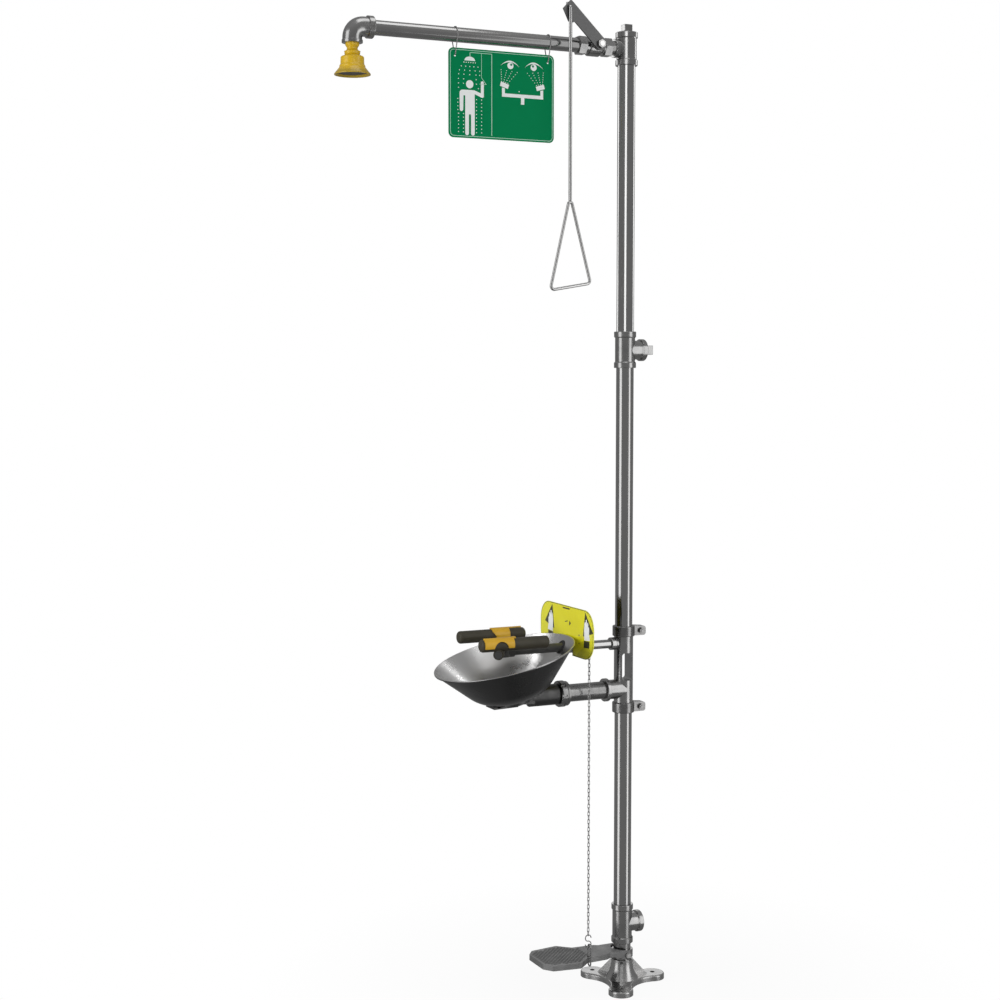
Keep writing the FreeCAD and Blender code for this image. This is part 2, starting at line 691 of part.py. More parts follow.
def soften(corners, radii):
    """Path through plain corners with all but the first one rounded, for draw()."""
    path = [corners[0]]
    for before, corner, after, radius in zip(corners, corners[1:], corners[2:] + corners[:1], radii):
        back = (before[0] - corner[0], before[1] - corner[1])
        ahead = (after[0] - corner[0], after[1] - corner[1])
        lengths = math.hypot(*back), math.hypot(*ahead)
        opening = math.acos((back[0] * ahead[0] + back[1] * ahead[1]) / (lengths[0] * lengths[1]))
        cut = radius / math.tan(opening / 2)
        turn = 1 if back[0] * ahead[1] - back[1] * ahead[0] < 0 else -1
        path.append((corner[0] + back[0] * cut / lengths[0], corner[1] + back[1] * cut / lengths[0]))
        path.append((corner[0] + ahead[0] * cut / lengths[1], corner[1] + ahead[1] * cut / lengths[1],
                     turn * radius))
    return path


def shower_lever(spot):
    """Flat lever that rises forward from the stem; its lip keeps the pull rod in line."""
    body = new_body("shower_lever")
    half, reach = "lever_width / 2", "lever_length"
    outline = [("-lever_width / 2", 0), (0, "-lever_width / 2", half), (half, 0, half), (half, reach),
               ("-lever_width / 2", reach), ("-lever_width / 2 - 11", f"{reach} - 30"),
               ("-lever_width / 2 - 7", f"{reach} - 38"), ("-lever_width / 2", f"{reach} - 42")]
    extrude(body, draw(new_sketch(body, "YZ_Plane"), outline), "lever_thickness")
    holes = new_sketch(body, "YZ_Plane")
    draw_circle(holes, 0, 0, "12 + 2 * thread_gap")
    draw_circle(holes, 0, "rod_hole", "rod_diameter + 2 * run_gap")
    extrude(body, holes, None, remove=True, reverse=True)
    place(body, x="lever_x", y=spot["y"], z="arm_z", axis=(1, 0, 0), angle="lever_angle")
    node("shower_lever", body)
    nut = hex_nut("shower_lever_nut", "12", 18, 6)
    node("shower_lever_nut", place(nut, x="lever_x + lever_thickness + 0.05", y=spot["y"], z="arm_z",
                                   **TO_RIGHT))


def pull_rod():
    """Rod hooked through the lever, with a triangular pull handle at its foot."""
    y = "-shower_valve_y - shower_valve_length / 2 - rod_hole * sin(lever_angle)"
    z = "arm_z + rod_hole * cos(lever_angle)"
    bend, end_x, end_z = 5, 31, 11
    path = [(end_x, end_z), (end_x, bend), (end_x + bend, 0, bend), (f"rod_x - {bend}", 0),
            ("rod_x", -bend, -bend), ("rod_x", "-rod_drop")]
    upright = bent_wire("rod_length", "XZ_Plane", path, "rod_diameter", "XY_Plane", end_z, (end_x, 0))
    place(upright, y=y, z=z)
    left, right, drop = size("handle_left"), size("handle_right"), size("handle_drop")
    middle = (right - left) / 2
    corners = [(middle, -drop), (right, -drop), (0, 0), (-left, -drop)]
    handle = bent_wire("handle_loop", "YZ_Plane", soften(corners, (8, 5, 8)), "handle_wire", "XZ_Plane",
                       -middle, (0, -drop), closed=True)
    place(handle, x="rod_x", y=y, z=f"{z} - rod_drop + 12", axis=(1, 0, 0), angle="handle_slope")
    node("pull_rod", fuse("pull_rod", [upright, handle]))


def shower_elbow():
    """Quarter bend between the arm and the shower head, with a banded collar at each end."""
    bend, radius, way = "elbow_bend", "elbow_radius", "arm_bore / 2"
    start = {"y": "-head_y + elbow_bend", "z": "arm_z - elbow_bend", "axis": (1, 0, 1), "angle": 180}
    across = {"y": "-head_y + elbow_bend", "z": "arm_z", **TO_BACK}
    down = {"y": "-head_y", "z": "arm_z - elbow_bend", "axis": (1, 0, 0), "angle": 180}
    outside, inside = [], []
    for parts, thick in ((outside, radius), (inside, way)):
        quarter = primitive("Torus", "bend", Radius1=bend, Radius2=thick, Angle3=90)
        parts.append(place(quarter, **start))
        parts.append(rod("across", f"2 * {thick}", 22, **across))
        parts.append(rod("down", f"2 * {thick}", 12, **down))
    collars = (("arm_collar", "2 * (elbow_radius + 3)", 13, {**across, "y": "-head_y + elbow_bend + 9"}),
               ("head_collar", "2 * (elbow_radius + 1.5)", 7, {**down, "z": "arm_z - elbow_bend - 5"}))
    for name, width, length, spot in collars:
        ring = rod(name, width, length, **spot)
        softened = document.addObject("Part::Fillet", name)
        softened.Base = ring
        softened.Edges = [(1, 1.5, 1.5), (3, 1.5, 1.5)]
        outside.append(softened)
    inside.append(rod("arm_socket", "arm_od + 2 * thread_gap", 15,
                      **{**across, "y": "-head_y + elbow_bend + 8"}))
    inside.append(rod("head_socket", 31.1, 11, **{**down, "z": "arm_z - elbow_bend - 2"}))
    elbow = boolean("Cut", "shower_elbow", fuse("elbow_outside", outside), fuse("elbow_inside", inside))
    node("shower_elbow", elbow)


def shower_head():
    """Bell-shaped plastic head, with a deflector below its mouth and a flow ring in its neck."""
    spot = {"y": "-head_y", "z": "arm_z - elbow_bend - 79"}
    head = new_body("shower_head")
    bell = [(8, 77), (15.5, 77), (15.5, 62), (12, 57), (12, 54), (18.3, 49, 9), (17.5, 43.5, 8), (16, 41),
            (24, 38), (26, 34, -4), (26.4, 21), (28.6, 18), (29, 14), (39, 1.6), (40.5, -0.3), (40.5, -2.2),
            (38, -2.2), (24, 14), (8, 22)]
    turn_profile(head, bell)
    node("shower_head", place(head, **spot))
    plate = new_body("shower_head_deflector")
    turn_profile(plate, [(0, 2), (31, 2), (31, 3.5), (4, 8), (4, 30), (0, 30)])
    vane = [(3, 23), (7.9, 23), (7.9, 29), (3, 29)]
    repeat_round(plate, extrude(plate, draw(new_sketch(plate, "XZ_Plane"), vane), 1.6, symmetric=True), 3)
    node("shower_head_deflector", place(plate, **spot))


def shower_branch():
    pipe("shower_nipple", "arm_od", "arm_bore", "shower_valve_y + 12.5 - top_tee_reach + 13.5",
         y="-top_tee_reach + 13.5", z="arm_z", **TO_FRONT)
    spot = ball_valve("shower", "shower_valve_y", "arm_z", "shower_valve_length")
    shower_lever(spot)
    pull_rod()
    start = "shower_valve_y + shower_valve_length - 12.5"
    pipe("shower_arm", "arm_od", "arm_bore", f"head_y - elbow_bend - 8.5 - ({start})", y=f"-({start})",
         z="arm_z", **TO_FRONT)
    shower_elbow()
    shower_head()


# ---------------------------------------------------------------- hanging sign

def safety_sign():
    """Two-sided sign that hangs from the shower arm by two wire loops."""
    wide, margin, hole_drop = "sign_width / 2", 16, 17.5
    low, high = "(sign_top - sign_height - arm_z)", "(sign_top - arm_z)"
    plate = new_body("safety_sign")
    sketch = draw(new_sketch(plate, "YZ_Plane"), rounded_box(f"-{wide}", low, wide, high, "sign_corner"))
    for side in ("-", ""):
        draw_circle(sketch, f"{side}({wide} - {margin})", f"{high} - {hole_drop}", "sign_hole")
    extrude(plate, sketch, "sign_thickness", symmetric=True)
    node("safety_sign", place(plate, y="-sign_y", z="arm_z"))

    upper = size("arm_od / 2 + run_gap + wire_diameter / 2")
    lower = 3.2
    drop = size(f"{high} - {hole_drop}") + 1 + lower
    lean = math.asin((upper - lower) / (-drop))
    side, rise = math.cos(lean), math.sin(lean)
    path = [(0, upper, -upper), (upper * side, -upper * rise, -upper), (lower * side, drop - lower * rise),
            (0, drop - lower, -lower), (-lower * side, drop - lower * rise, -lower),
            (-upper * side, -upper * rise)]
    loops = []
    for side in ("-", ""):
        loop = bent_wire("sign_loop", "XZ_Plane", path, "wire_diameter", "YZ_Plane", 0, (0, upper),
                         closed=True)
        loops.append(place(loop, y=f"-sign_y {side or '+'} ({wide} - {margin})", z="arm_z"))
    gather("sign_wires", loops)


# ---------------------------------------------------------------- bowl and drain

IN_BOWL = {"axis": (1, 0, 0), "angle": "bowl_tilt"}


def bowl_curve(gap):
    """Floor, corner and slope of the bowl's outside, moved outwards by a gap; ends at the rim."""
    corner = f"(bowl_corner + {gap})"
    across = f"bowl_floor_radius + {corner} * sin(bowl_slope)"
    up = f"bowl_corner - bowl_depth - {corner} * cos(bowl_slope)"
    rim = "bowl_radius - 2.5"
    return [(0, f"-bowl_depth - {gap}"), ("bowl_floor_radius", f"-bowl_depth - {gap}"),
            (across, up, corner), (rim, f"{up} + ({rim} - ({across})) * tan(bowl_slope)")]


def in_bowl(item, down=0):
    """Place something made in the bowl's own frame, whose origin is the centre of the rim."""
    lower = f"({down})"
    return place(item, y=f"-bowl_y + {lower} * sin(bowl_tilt)", z=f"bowl_z - {lower} * cos(bowl_tilt)",
                 **IN_BOWL)


def bowl():
    """Spun bowl with a turned-out lip, tilted forward; one hole for the drain and one for the feed."""
    body = new_body("bowl")
    wall = "bowl_wall"
    inner = f"(bowl_corner - {wall})"
    across = f"bowl_floor_radius + {inner} * sin(bowl_slope)"
    up = f"bowl_corner - bowl_depth - {inner} * cos(bowl_slope)"
    rim = f"{across} - ({up}) / tan(bowl_slope)"
    floor = f"{wall} - bowl_depth"
    outline = bowl_curve(0) + [("bowl_radius", -3), ("bowl_radius", -1), ("bowl_radius - 1", 0, 1), (rim, 0),
                               (across, up), ("bowl_floor_radius", floor, f"-{inner}"), (0, floor)]
    turn_profile(body, outline)
    hole = draw_circle(new_sketch(body, "XY_Plane"), 0, 0, "drain_hole")
    extrude(body, hole, None, remove=True)
    feed = body.newObject("PartDesign::SubtractiveCylinder", "feed_hole")
    bind(feed, "Radius", "feed_hole / 2")
    bind(feed, "Height", 60)
    y = "(feed_hole_y + bowl_y) * cos(bowl_tilt) + (feed_z - bowl_z) * sin(bowl_tilt)"
    z = "(feed_z - bowl_z) * cos(bowl_tilt) - (feed_hole_y + bowl_y) * sin(bowl_tilt)"
    place(feed, y=f"{y} + 30 * sin(bowl_slope)", z=f"{z} - 30 * cos(bowl_slope)",
          axis=(1, 0, 0), angle="bowl_slope")
    return body


def feed_grommet(bowl_body):
    """Rubber grommet that fills the bowl's feed hole and grips the supply tube."""
    spot = {"y": "feed_hole_y", "z": "feed_z"}
    lean = "bowl_slope + bowl_tilt"
    ring = new_body("grommet_ring")
    wide = "feed_hole / 2 + 3"
    turn_profile(ring, [(0, -3.6), (f"{wide} - 1.5", -3.6), (wide, -2.1, 1.5), (wide, 2.1),
                        (f"{wide} - 1.5", 3.6, 1.5), (0, 3.6)])
    place(ring, axis=(1, 0, 0), angle=lean, **spot)
    tube = rod("tube_way", "feed_od + 2 * run_gap", 60, y="feed_hole_y - 30", z="feed_z", **TO_BACK)
    node("supply_grommet", boolean("Cut", "supply_grommet", boolean("Cut", "grommet_bored", ring, tube),
                                   bowl_body))


def drain_body():
    """Drain casting: flange and shallow sump under the bowl, and a round arm to the tailpiece."""
    envelope = new_body("bowl_envelope")
    turn_profile(envelope, bowl_curve(2) + [("bowl_radius", 5), (0, 5)])
    in_bowl(envelope)
    sump = new_body("drain_sump")
    side = [(-356, 711.8), (-294, 714.1), (-294, 719.5), (-250, 717.5), (-250, 745), (-356, 745)]
    extrude(sump, draw(new_sketch(sump, "YZ_Plane"), side), 48, symmetric=True)
    arm = rod("drain_arm", 50, 72, y="-union_y - 4", z="waste_z", **TO_FRONT)
    under_bowl = boolean("Cut", "under_bowl", fuse("sump_and_arm", [sump, arm]), envelope)
    flange = in_bowl(rod("drain_flange", 76, 7), "bowl_depth + 9")
    tail = rod("drain_tail", 44, 16, y="-union_y - 8", z="waste_z", **TO_BACK)
    lip = rod("drain_lip", 51, 4, y="-union_y + 5.1", z="waste_z", **TO_BACK)
    outside = boolean("Cut", "drain_outside", fuse("drain_solid", [under_bowl, flange, tail, lip]),
                      in_bowl(rod("gasket_seat", 120, 10), "bowl_depth + 2"))
    inner = new_body("deeper_envelope")
    turn_profile(inner, bowl_curve(5) + [("bowl_radius", 5), (0, 5)])
    in_bowl(inner)
    channel = new_body("drain_channel")
    side = [(-318, 717.5), (-298, 717.5), (-292, 723), (-246, 721.5), (-246, 745), (-318, 745)]
    extrude(channel, draw(new_sketch(channel, "YZ_Plane"), side), 30, symmetric=True)
    bore = rod("drain_bore", 42, 60, y="-union_y - 8", z="waste_z", **TO_FRONT)
    way = boolean("Cut", "drain_way", fuse("channel_and_bore", [channel, bore]), inner)
    throat = rod("drain_throat", 35, 40, y="-union_y - 20", z="waste_z", **TO_BACK)
    inlet = in_bowl(rod("drain_inlet", 40, 14), "bowl_depth + 12")
    hollow = boolean("Cut", "drain_hollow", outside, fuse("drain_inside", [way, throat, inlet]))
    bridge = primitive("Box", "screw_bridge", Length=42, Width=8, Height=5)
    spot = "(bowl_depth + 8)"
    place(bridge, x=-21, y=f"-bowl_y + {spot} * sin(bowl_tilt) - 4 * cos(bowl_tilt)",
          z=f"bowl_z - {spot} * cos(bowl_tilt) - 4 * sin(bowl_tilt)", **IN_BOWL)
    thread = in_bowl(rod("screw_thread", "5 + 2 * thread_gap", 30), "bowl_depth + 20")
    node("drain_body", boolean("Cut", "drain_body", fuse("drain_bridged", [hollow, bridge]), thread))


def drain():
    gasket = pipe("drain_gasket", 66, "drain_hole", 2)
    in_bowl(gasket, "bowl_depth + 2")
    strainer = new_body("drain_strainer")
    turn_profile(strainer, [(2.6, 0), (31, 0), (31, 0.6), (28, 1.5), (2.6, 1.5)])
    for ring_radius, count, width in ((9, 6, 5), (17, 12, 5)):
        hole = draw_circle(new_sketch(strainer, "XY_Plane"), ring_radius, 0, width)
        repeat_round(strainer, extrude(strainer, hole, None, remove=True, reverse=True), count)
    node("drain_strainer", in_bowl(strainer, "bowl_depth - bowl_wall"))
    screw = new_body("strainer_screw")
    turn_profile(screw, [(0, -10.5), (2.5, -10.5), (2.5, 1.5), (5, 1.5), (4, 3.6), (0, 3.6)])
    node("strainer_screw", in_bowl(screw, "bowl_depth - bowl_wall"))
    drain_body()

    spot = {"z": "waste_z", **TO_BACK}
    nut = new_body("union_nut")
    turn_profile(nut, [(22.1, 0), (28.5, 0), (31.5, 3, 3), (31.5, 15), (30, 18, 9), (25.6, 18), (25.6, 5),
                       (22.1, 5)])
    notch = draw(new_sketch(nut, "XY_Plane"), [(29.5, -2.5), (33, -2.5), (33, 2.5), (29.5, 2.5)])
    repeat_round(nut, extrude(nut, notch, 12, remove=True, reverse=True), 8)
    node("union_nut", place(nut, y="-union_y", **spot))
    pipe("union_gasket", 51, 36, "2 - 0.02", y="-union_y + 9.11", **spot)
    tail = new_body("union_tail")
    turn_profile(tail, [(17.5, 0), (25.5, 0), (25.5, 7), (29.5, 7), (29.5, 12), (28.5, 13, 1),
                        ("pole_od / 2 + thread_gap", 13), ("pole_od / 2 + thread_gap", 2), (17.5, 2)])
    node("union_tail", place(tail, y="-union_y + 11.1", **spot))
    pipe("waste_pipe", "pole_od", "pole_bore", "union_y - 13.6 - 41.5", y="-union_y + 13.6", **spot)


# ---------------------------------------------------------------- eyewash feed and sprays

def add_cylinder(body, diameter, length, remove=False, **spot):
    """Round bar added to, or taken from, a body at any angle."""
    kind = "SubtractiveCylinder" if remove else "AdditiveCylinder"
    item = body.newObject(f"PartDesign::{kind}", "bar")
    bind(item, "Radius", f"({diameter}) / 2")
    bind(item, "Height", length)
    place(item, **spot)
    document.recompute()
    return item


CROSS_TURN = "atan(spray_x / inlet_offset)"


def spray_manifold():
    """Hub on the supply tube with a tube through it that feeds both spray bars."""
    body = new_body("spray_manifold")
    low = "feed_z - cross_z - 12"
    cross = "2 * (sqrt(spray_x * spray_x + inlet_offset * inlet_offset) + 17)"
    across = {"x": f"-({cross}) / 2 * sin({CROSS_TURN})", "y": f"({cross}) / 2 * cos({CROSS_TURN})",
              "yaw": CROSS_TURN, **TO_FRONT}
    add_cylinder(body, 34, 27, z=low)
    add_cylinder(body, "cross_diameter", cross, **across)
    add_cylinder(body, 28, 28, z="feed_z - cross_z", **TO_BACK)
    add_cylinder(body, "feed_od + 2 * thread_gap", 10, remove=True, y=19, z="feed_z - cross_z", **TO_BACK)
    add_cylinder(body, 11, 22, remove=True, z="feed_z - cross_z", **TO_BACK)
    add_cylinder(body, 11, 9, remove=True, z="feed_z - cross_z - 1")
    inset = 4
    add_cylinder(body, "cross_diameter - 5", f"{cross} - {2 * inset}", remove=True,
                 x=f"-(({cross}) / 2 - {inset}) * sin({CROSS_TURN})",
                 y=f"(({cross}) / 2 - {inset}) * cos({CROSS_TURN})", yaw=CROSS_TURN, **TO_FRONT)
    for side in (1, -1):
        add_cylinder(body, 8, 12, remove=True, x=f"{side} * spray_x", y=f"{-side} * inlet_offset")
    node("spray_manifold", place(body, y="-spray_y", z="cross_z"))


def spray_bar(label, side):
    """Closed bar with a row of spray holes, on a clamp boss that fits the manifold's tube."""
    body = new_body(label)
    front, back = "(-bar_length / 2 - bar_shift)", "(bar_length / 2 - bar_shift)"
    edge = 7
    radius = "bar_diameter / 2"
    turn_profile(body, [(front, 0), (front, f"{radius} - {edge}"), (f"{edge} + {front}", radius, -edge),
                        (f"{back} - {edge}", radius), (back, f"{radius} - {edge}", -edge), (back, 0)],
                 role="YZ_Plane", axis="H_Axis")
    drop = "(spray_z - cross_z)"
    for across, length, bored in (("cross_diameter + 6", 30, False),
                                  ("cross_diameter + 2 * run_gap", 90, True)):
        add_cylinder(body, across, length, remove=bored, x=f"-{length / 2} * sin({CROSS_TURN})",
                     y=f"-inlet_offset + {length / 2} * cos({CROSS_TURN})", z=f"-{drop}", yaw=CROSS_TURN,
                     **TO_FRONT)
    hollow = f"{radius} - bar_wall"
    turn_profile(body, [(f"7 + {front}", 0), (f"7 + {front}", hollow), (f"{back} - 7", hollow),
                        (f"{back} - 7", 0)], role="YZ_Plane", axis="H_Axis", remove=True)
    add_cylinder(body, 8, f"{drop} - 8", remove=True, y="-inlet_offset", z=f"-{drop} + 2")
    for index in range(7):
        add_cylinder(body, 2.5, 20, remove=True, y=12 * (index - 3) - 8, axis=(0, 1, 0), angle=-25)
    place(body, x=f"{side} * spray_x", y="-spray_y", z="spray_z", angle=90 - 90 * side)
    return node(label, body)


def sector(inner, outer, start, stop):
    """Outline of part of a ring between two angles in degrees."""
    points = []
    for radius, angle in ((outer, start), (outer, stop), (inner, stop), (inner, start)):
        lean = math.radians(angle)
        points.append((radius * math.cos(lean), radius * math.sin(lean)))
    points[1] += (outer,)
    points[3] += (-inner,)
    return points


def spray_cover(side):
    """Snap-on cover: a half shell over one end of the bar and a strap over its inner side."""
    body = new_body("spray_cover")
    inner = size("bar_diameter / 2 + run_gap")
    outer = inner + 3.1
    shell = draw(new_sketch(body, "XZ_Plane", offset=9), sector(inner, outer, -20, 80))
    extrude(body, shell, 74)
    strap = draw(new_sketch(body, "XZ_Plane", offset=2), sector(inner, outer, 66, 205))
    extrude(body, strap, 44)
    wedge = draw(new_sketch(body, "YZ_Plane"), [(0, 12), (0, -20), (-27, -20)])
    extrude(body, wedge, 30, remove=True)
    add_cylinder(body, 37, 40, remove=True, y="-inlet_offset", z=-9, **TO_RIGHT)
    return place(body, x=f"{side} * spray_x", y="-spray_y", z="spray_z", angle=90 - 90 * side)


def eyewash_feed():
    pipe("eyewash_nipple", "feed_od", "feed_bore", "eye_valve_y + 12.5 - 24.5", y=-24.5, z="feed_z",
         **TO_FRONT)
    spot = ball_valve("eyewash", "eye_valve_y", "feed_z", "eye_valve_length")
    start = "eye_valve_y + eye_valve_length - 12.5"
    pipe("supply_tube", "feed_od", "feed_bore", f"spray_y - 19.5 - ({start})", y=f"-({start})", z="feed_z",
         **TO_FRONT)
    spray_manifold()
    for label, side in (("right_spray_bar", 1), ("left_spray_bar", -1)):
        spray_bar(label, side)
    gather("spray_covers", [spray_cover(side) for side in (1, -1)])
    return spot


# ---------------------------------------------------------------- paddle

def paddle(spot):
    """Push plate on a bracket that turns the eyewash valve's stem."""
    depth = "(paddle_y - eye_valve_y - eye_valve_length / 2)"
    low = "(paddle_low - feed_z)"
    left, right, high = "paddle_left", "paddle_right", f"{low} + paddle_height"
    corner = "paddle_corner"
    plate = new_body("push_paddle")
    notch, notch_top, notch_round = 21, 21, 12
    outline = [(notch, low), (f"{right} - {corner}", low), (right, f"{low} + {corner}", corner),
               (right, f"{high} - {corner}"), (f"{right} - {corner}", high, corner),
               (f"{corner} - {left}", high), (f"-{left}", f"{high} - {corner}", corner),
               (f"-{left}", f"{low} + {corner}"), (f"{corner} - {left}", low, corner), (-notch, low),
               (-notch, notch_top - notch_round), (notch_round - notch, notch_top, -notch_round),
               (notch - notch_round, notch_top), (notch, notch_top - notch_round, -notch_round)]
    sketch = draw(new_sketch(plate, "XZ_Plane", offset=f"{depth} - paddle_thickness"), outline)
    screw_x, screw_z = 56, (15.5, 35.5)
    for z in screw_z:
        draw_circle(sketch, screw_x, z, "4 + 2 * thread_gap")
    extrude(plate, sketch, "paddle_thickness")
    node("push_paddle", place(plate, **spot))

    bracket = new_body("paddle_bracket")
    back, thick = f"paddle_thickness - {depth}", 2.4
    eye_y, eye_z, tab = "chain_eye_y", "chain_eye_z", 5
    side = [(back, 45.5), (back, 5.5), (-11, 0), (0, -11, 11), (11, 0, 11), (f"{eye_y} + {tab}", eye_z),
            (eye_y, f"{eye_z} + {tab}", tab), (4, 22), (-8, 45.5)]
    cheek = draw(new_sketch(bracket, "YZ_Plane", offset="chain_x"), side)
    draw_circle(cheek, 0, 0, "8 + 2 * thread_gap")
    draw_circle(cheek, eye_y, eye_z, 5)
    extrude(bracket, cheek, thick, symmetric=True)
    flange = [(f"chain_x - {thick / 2}", 5.5), (70, 5.5), (70, 45.5), (f"chain_x - {thick / 2}", 45.5)]
    pad = draw(new_sketch(bracket, "XZ_Plane", offset=f"-({back}) - {thick}"), flange)
    for z in screw_z:
        draw_circle(pad, screw_x, z, "4 + 2 * thread_gap")
    extrude(bracket, pad, thick)
    node("paddle_bracket", place(bracket, **spot))

    screws = []
    for z in screw_z:
        screw = new_body("paddle_screw")
        turn_profile(screw, [(0, 0), (3.5, 0), (3.5, 2), (2.6, 2.8), (0, 2.8)])
        turn_profile(screw, [(0, -5.2), (2, -5.2), (2, 1), (0, 1)])
        screws.append(place(screw, x=screw_x, y=f"{spot['y']} + {back} + {thick}", z=f"feed_z + {z}",
                            **TO_BACK))
    gather("paddle_screws", screws)
    nut = hex_nut("paddle_stem_nut", "8", 13, 5)
    node("paddle_stem_nut", place(nut, x=f"chain_x + {thick / 2} + 0.02", y=spot["y"], z="feed_z",
                                  **TO_RIGHT))


# ---------------------------------------------------------------- chain, hook and treadle

LINK_COUNT = 75
LINK_PLAY = 0.1


def ring_link(name, half_width, low, high, wire, x, y):
    """Oval link in the XZ plane, given by the heights of its two end wires."""
    top, bottom = f"({high}) - ({half_width})", f"({low}) + ({half_width})"
    path = [(half_width, top), (0, high, half_width), (f"-({half_width})", top, half_width),
            (f"-({half_width})", bottom), (0, low, half_width), (half_width, bottom, half_width)]
    middle = size(f"(({high}) + ({low})) / 2")
    path = [(half_width, middle)] + path
    body = bent_wire(name, "XZ_Plane", path, wire, "XY_Plane", middle, (half_width, 0), closed=True)
    return place(body, x=x, y=y)


def chain():
    """Straight chain between the paddle's bracket and the hook, each link a quarter turn from the last."""
    top = size("feed_z + chain_eye_z - 2.5 + chain_wire / 2 + 0.8")
    bottom = size("hook_z + 2 * hook_loop - hook_wire / 2 - chain_wire / 2 - 0.05")
    wire = size("chain_wire")
    pitch = (top - bottom - wire - LINK_PLAY) / LINK_COUNT
    link = ring_link("chain_link", "(chain_width - chain_wire) / 2", top - pitch - LINK_PLAY - wire, top,
                     "chain_wire", 0, 0)
    links = []
    for index in range(LINK_COUNT):
        copy = link.Shape.copy()
        copy.Placement = FreeCAD.Placement(FreeCAD.Vector(0, 0, -pitch * index),
                                           FreeCAD.Rotation(FreeCAD.Vector(0, 0, 1), 90 * (index % 2)))
        links.append(copy)
    item = document.addObject("Part::Feature", "chain")
    item.Shape = Part.makeCompound(links)
    node("chain", place(item, x="chain_x", y="-chain_y"))


def s_hook():
    """Open hook between the chain's last link and the treadle's link."""
    loop = "hook_loop"
    half = f"{loop} * cos(45)"
    path = [(loop, loop), (f"-({half})", f"{loop} + {half}", loop), (0, 0, loop),
            (half, f"-{loop} - {half}", f"-{loop}"), (f"-{loop}", f"-{loop}", f"-{loop}")]
    body = bent_wire("s_hook", "YZ_Plane", path, "hook_wire", "XY_Plane", loop, (0, loop))
    node("s_hook", place(body, x="chain_x", y="-chain_y", z="hook_z"))


def treadle():
    """Foot plate hollowed underneath, with two lugs astride the pivot collar."""
    body = new_body("treadle")
    under = "treadle_top - treadle_thickness - pivot_z"
    lug_out = "lug_inside + lug_thickness"
    half = [(38, -235), (61, -218), (70, -147), (63, -140), (42, -117), (39, -62), (lug_out, -50),
            (lug_out, -8.13), ("lug_inside", -8.13)]
    mirrored = [(f"-({x})", y) for x, y in reversed(half)]
    mirrored[0] += (-28.2,)
    extrude(body, draw(new_sketch(body, "XY_Plane", offset=under), half + mirrored), "treadle_thickness")
    round_edges(body, 8, lambda edge: edge.BoundBox.ZLength > 9 and edge.BoundBox.YMax < -60)
    half = [(33, -229), (55, -213), (62, -152), (56, -146), (30, -126), (28, -62)]
    mirrored = [(f"-({x})", y) for x, y in reversed(half)]
    pocket = draw(new_sketch(body, "XY_Plane", offset=under), half + mirrored)
    extrude(body, pocket, "treadle_thickness - treadle_skin", remove=True, reverse=True)
    lug = [(-50, f"{under} + treadle_thickness"), (-50, 4), (0, "-lug_radius"),
           ("lug_radius", 0, "lug_radius"), (0, "lug_radius", "lug_radius"),
           (-20, f"{under} + treadle_thickness")]
    for low in ("lug_inside", f"-({lug_out})"):
        extrude(body, draw(new_sketch(body, "YZ_Plane", offset=low), lug), "lug_thickness")
    bore = draw_circle(new_sketch(body, "YZ_Plane"), 0, 0, "pivot_pin + 2 * run_gap")
    extrude(body, bore, 100, remove=True, symmetric=True)
    hole = draw_circle(new_sketch(body, "XY_Plane"), 34, "-link_y", 7)
    extrude(body, hole, 60, remove=True, symmetric=True)
    node("treadle", place(body, z="pivot_z"))


def treadle_pivot():
    """Collar round the neck of the stand, and the two pivot screws the treadle swings on."""
    collar = new_body("treadle_collar")
    outer, inner, tall = "collar_radius", "pole_od / 2 + thread_gap", "collar_height"
    turn_profile(collar, [(inner, 0), (f"{outer} - 1.5", 0), (outer, 1.5, 1.5), (outer, f"{tall} - 1.5"),
                          (f"{outer} - 1.5", tall, 1.5), (inner, tall)])
    bore = draw_circle(new_sketch(collar, "YZ_Plane"), 0, f"{tall} / 2", "pivot_pin + 2 * thread_gap")
    extrude(collar, bore, 100, remove=True, symmetric=True)
    node("treadle_collar", place(collar, z=f"pivot_z - {tall} / 2"))
    screws = []
    for turn in (90, -90):
        screw = new_body("pivot_screw")
        shank, shoulder = "pivot_pin / 2", "lug_inside + lug_thickness + 0.6"
        turn_profile(screw, [(0, "pole_od / 2 + 0.05"), (shank, "pole_od / 2 + 0.45"), (shank, shoulder),
                             (8, shoulder), (8, f"{shoulder} + 2"), (6, f"{shoulder} + 4"),
                             (0, f"{shoulder} + 4")])
        screws.append(place(screw, z="pivot_z", axis=(0, 1, 0), angle=turn))
    gather("treadle_pivot_screws", screws)


# ---------------------------------------------------------------- finish

def write_parts():
    document.recompute()
    failed = [item.Label for item in document.Objects if {"Invalid", "Error"} & set(item.State)]
    if failed:
        raise RuntimeError(f"objects that did not build: {failed}")
    for label, item in NODES.items():
        if item.Shape.isNull() or not item.Shape.isValid() or not item.Shape.Solids:
            raise RuntimeError(f"{label} has no valid solid")
    os.makedirs("parts", exist_ok=True)
    for label, item in NODES.items():
        item.Shape.exportStep(f"parts/{label}.step")


stanchion()
pedestal()
shower_branch()
safety_sign()
bowl_body = node("bowl", in_bowl(bowl()))
feed_grommet(bowl_body)
drain()
paddle(eyewash_feed())
chain()
s_hook()
node("treadle_link", ring_link("treadle_link", "link_radius", "link_bottom", "link_top", "link_wire",
                               "chain_x + 0.5", "-link_y"))
treadle()
treadle_pivot()
write_parts()
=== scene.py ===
import math

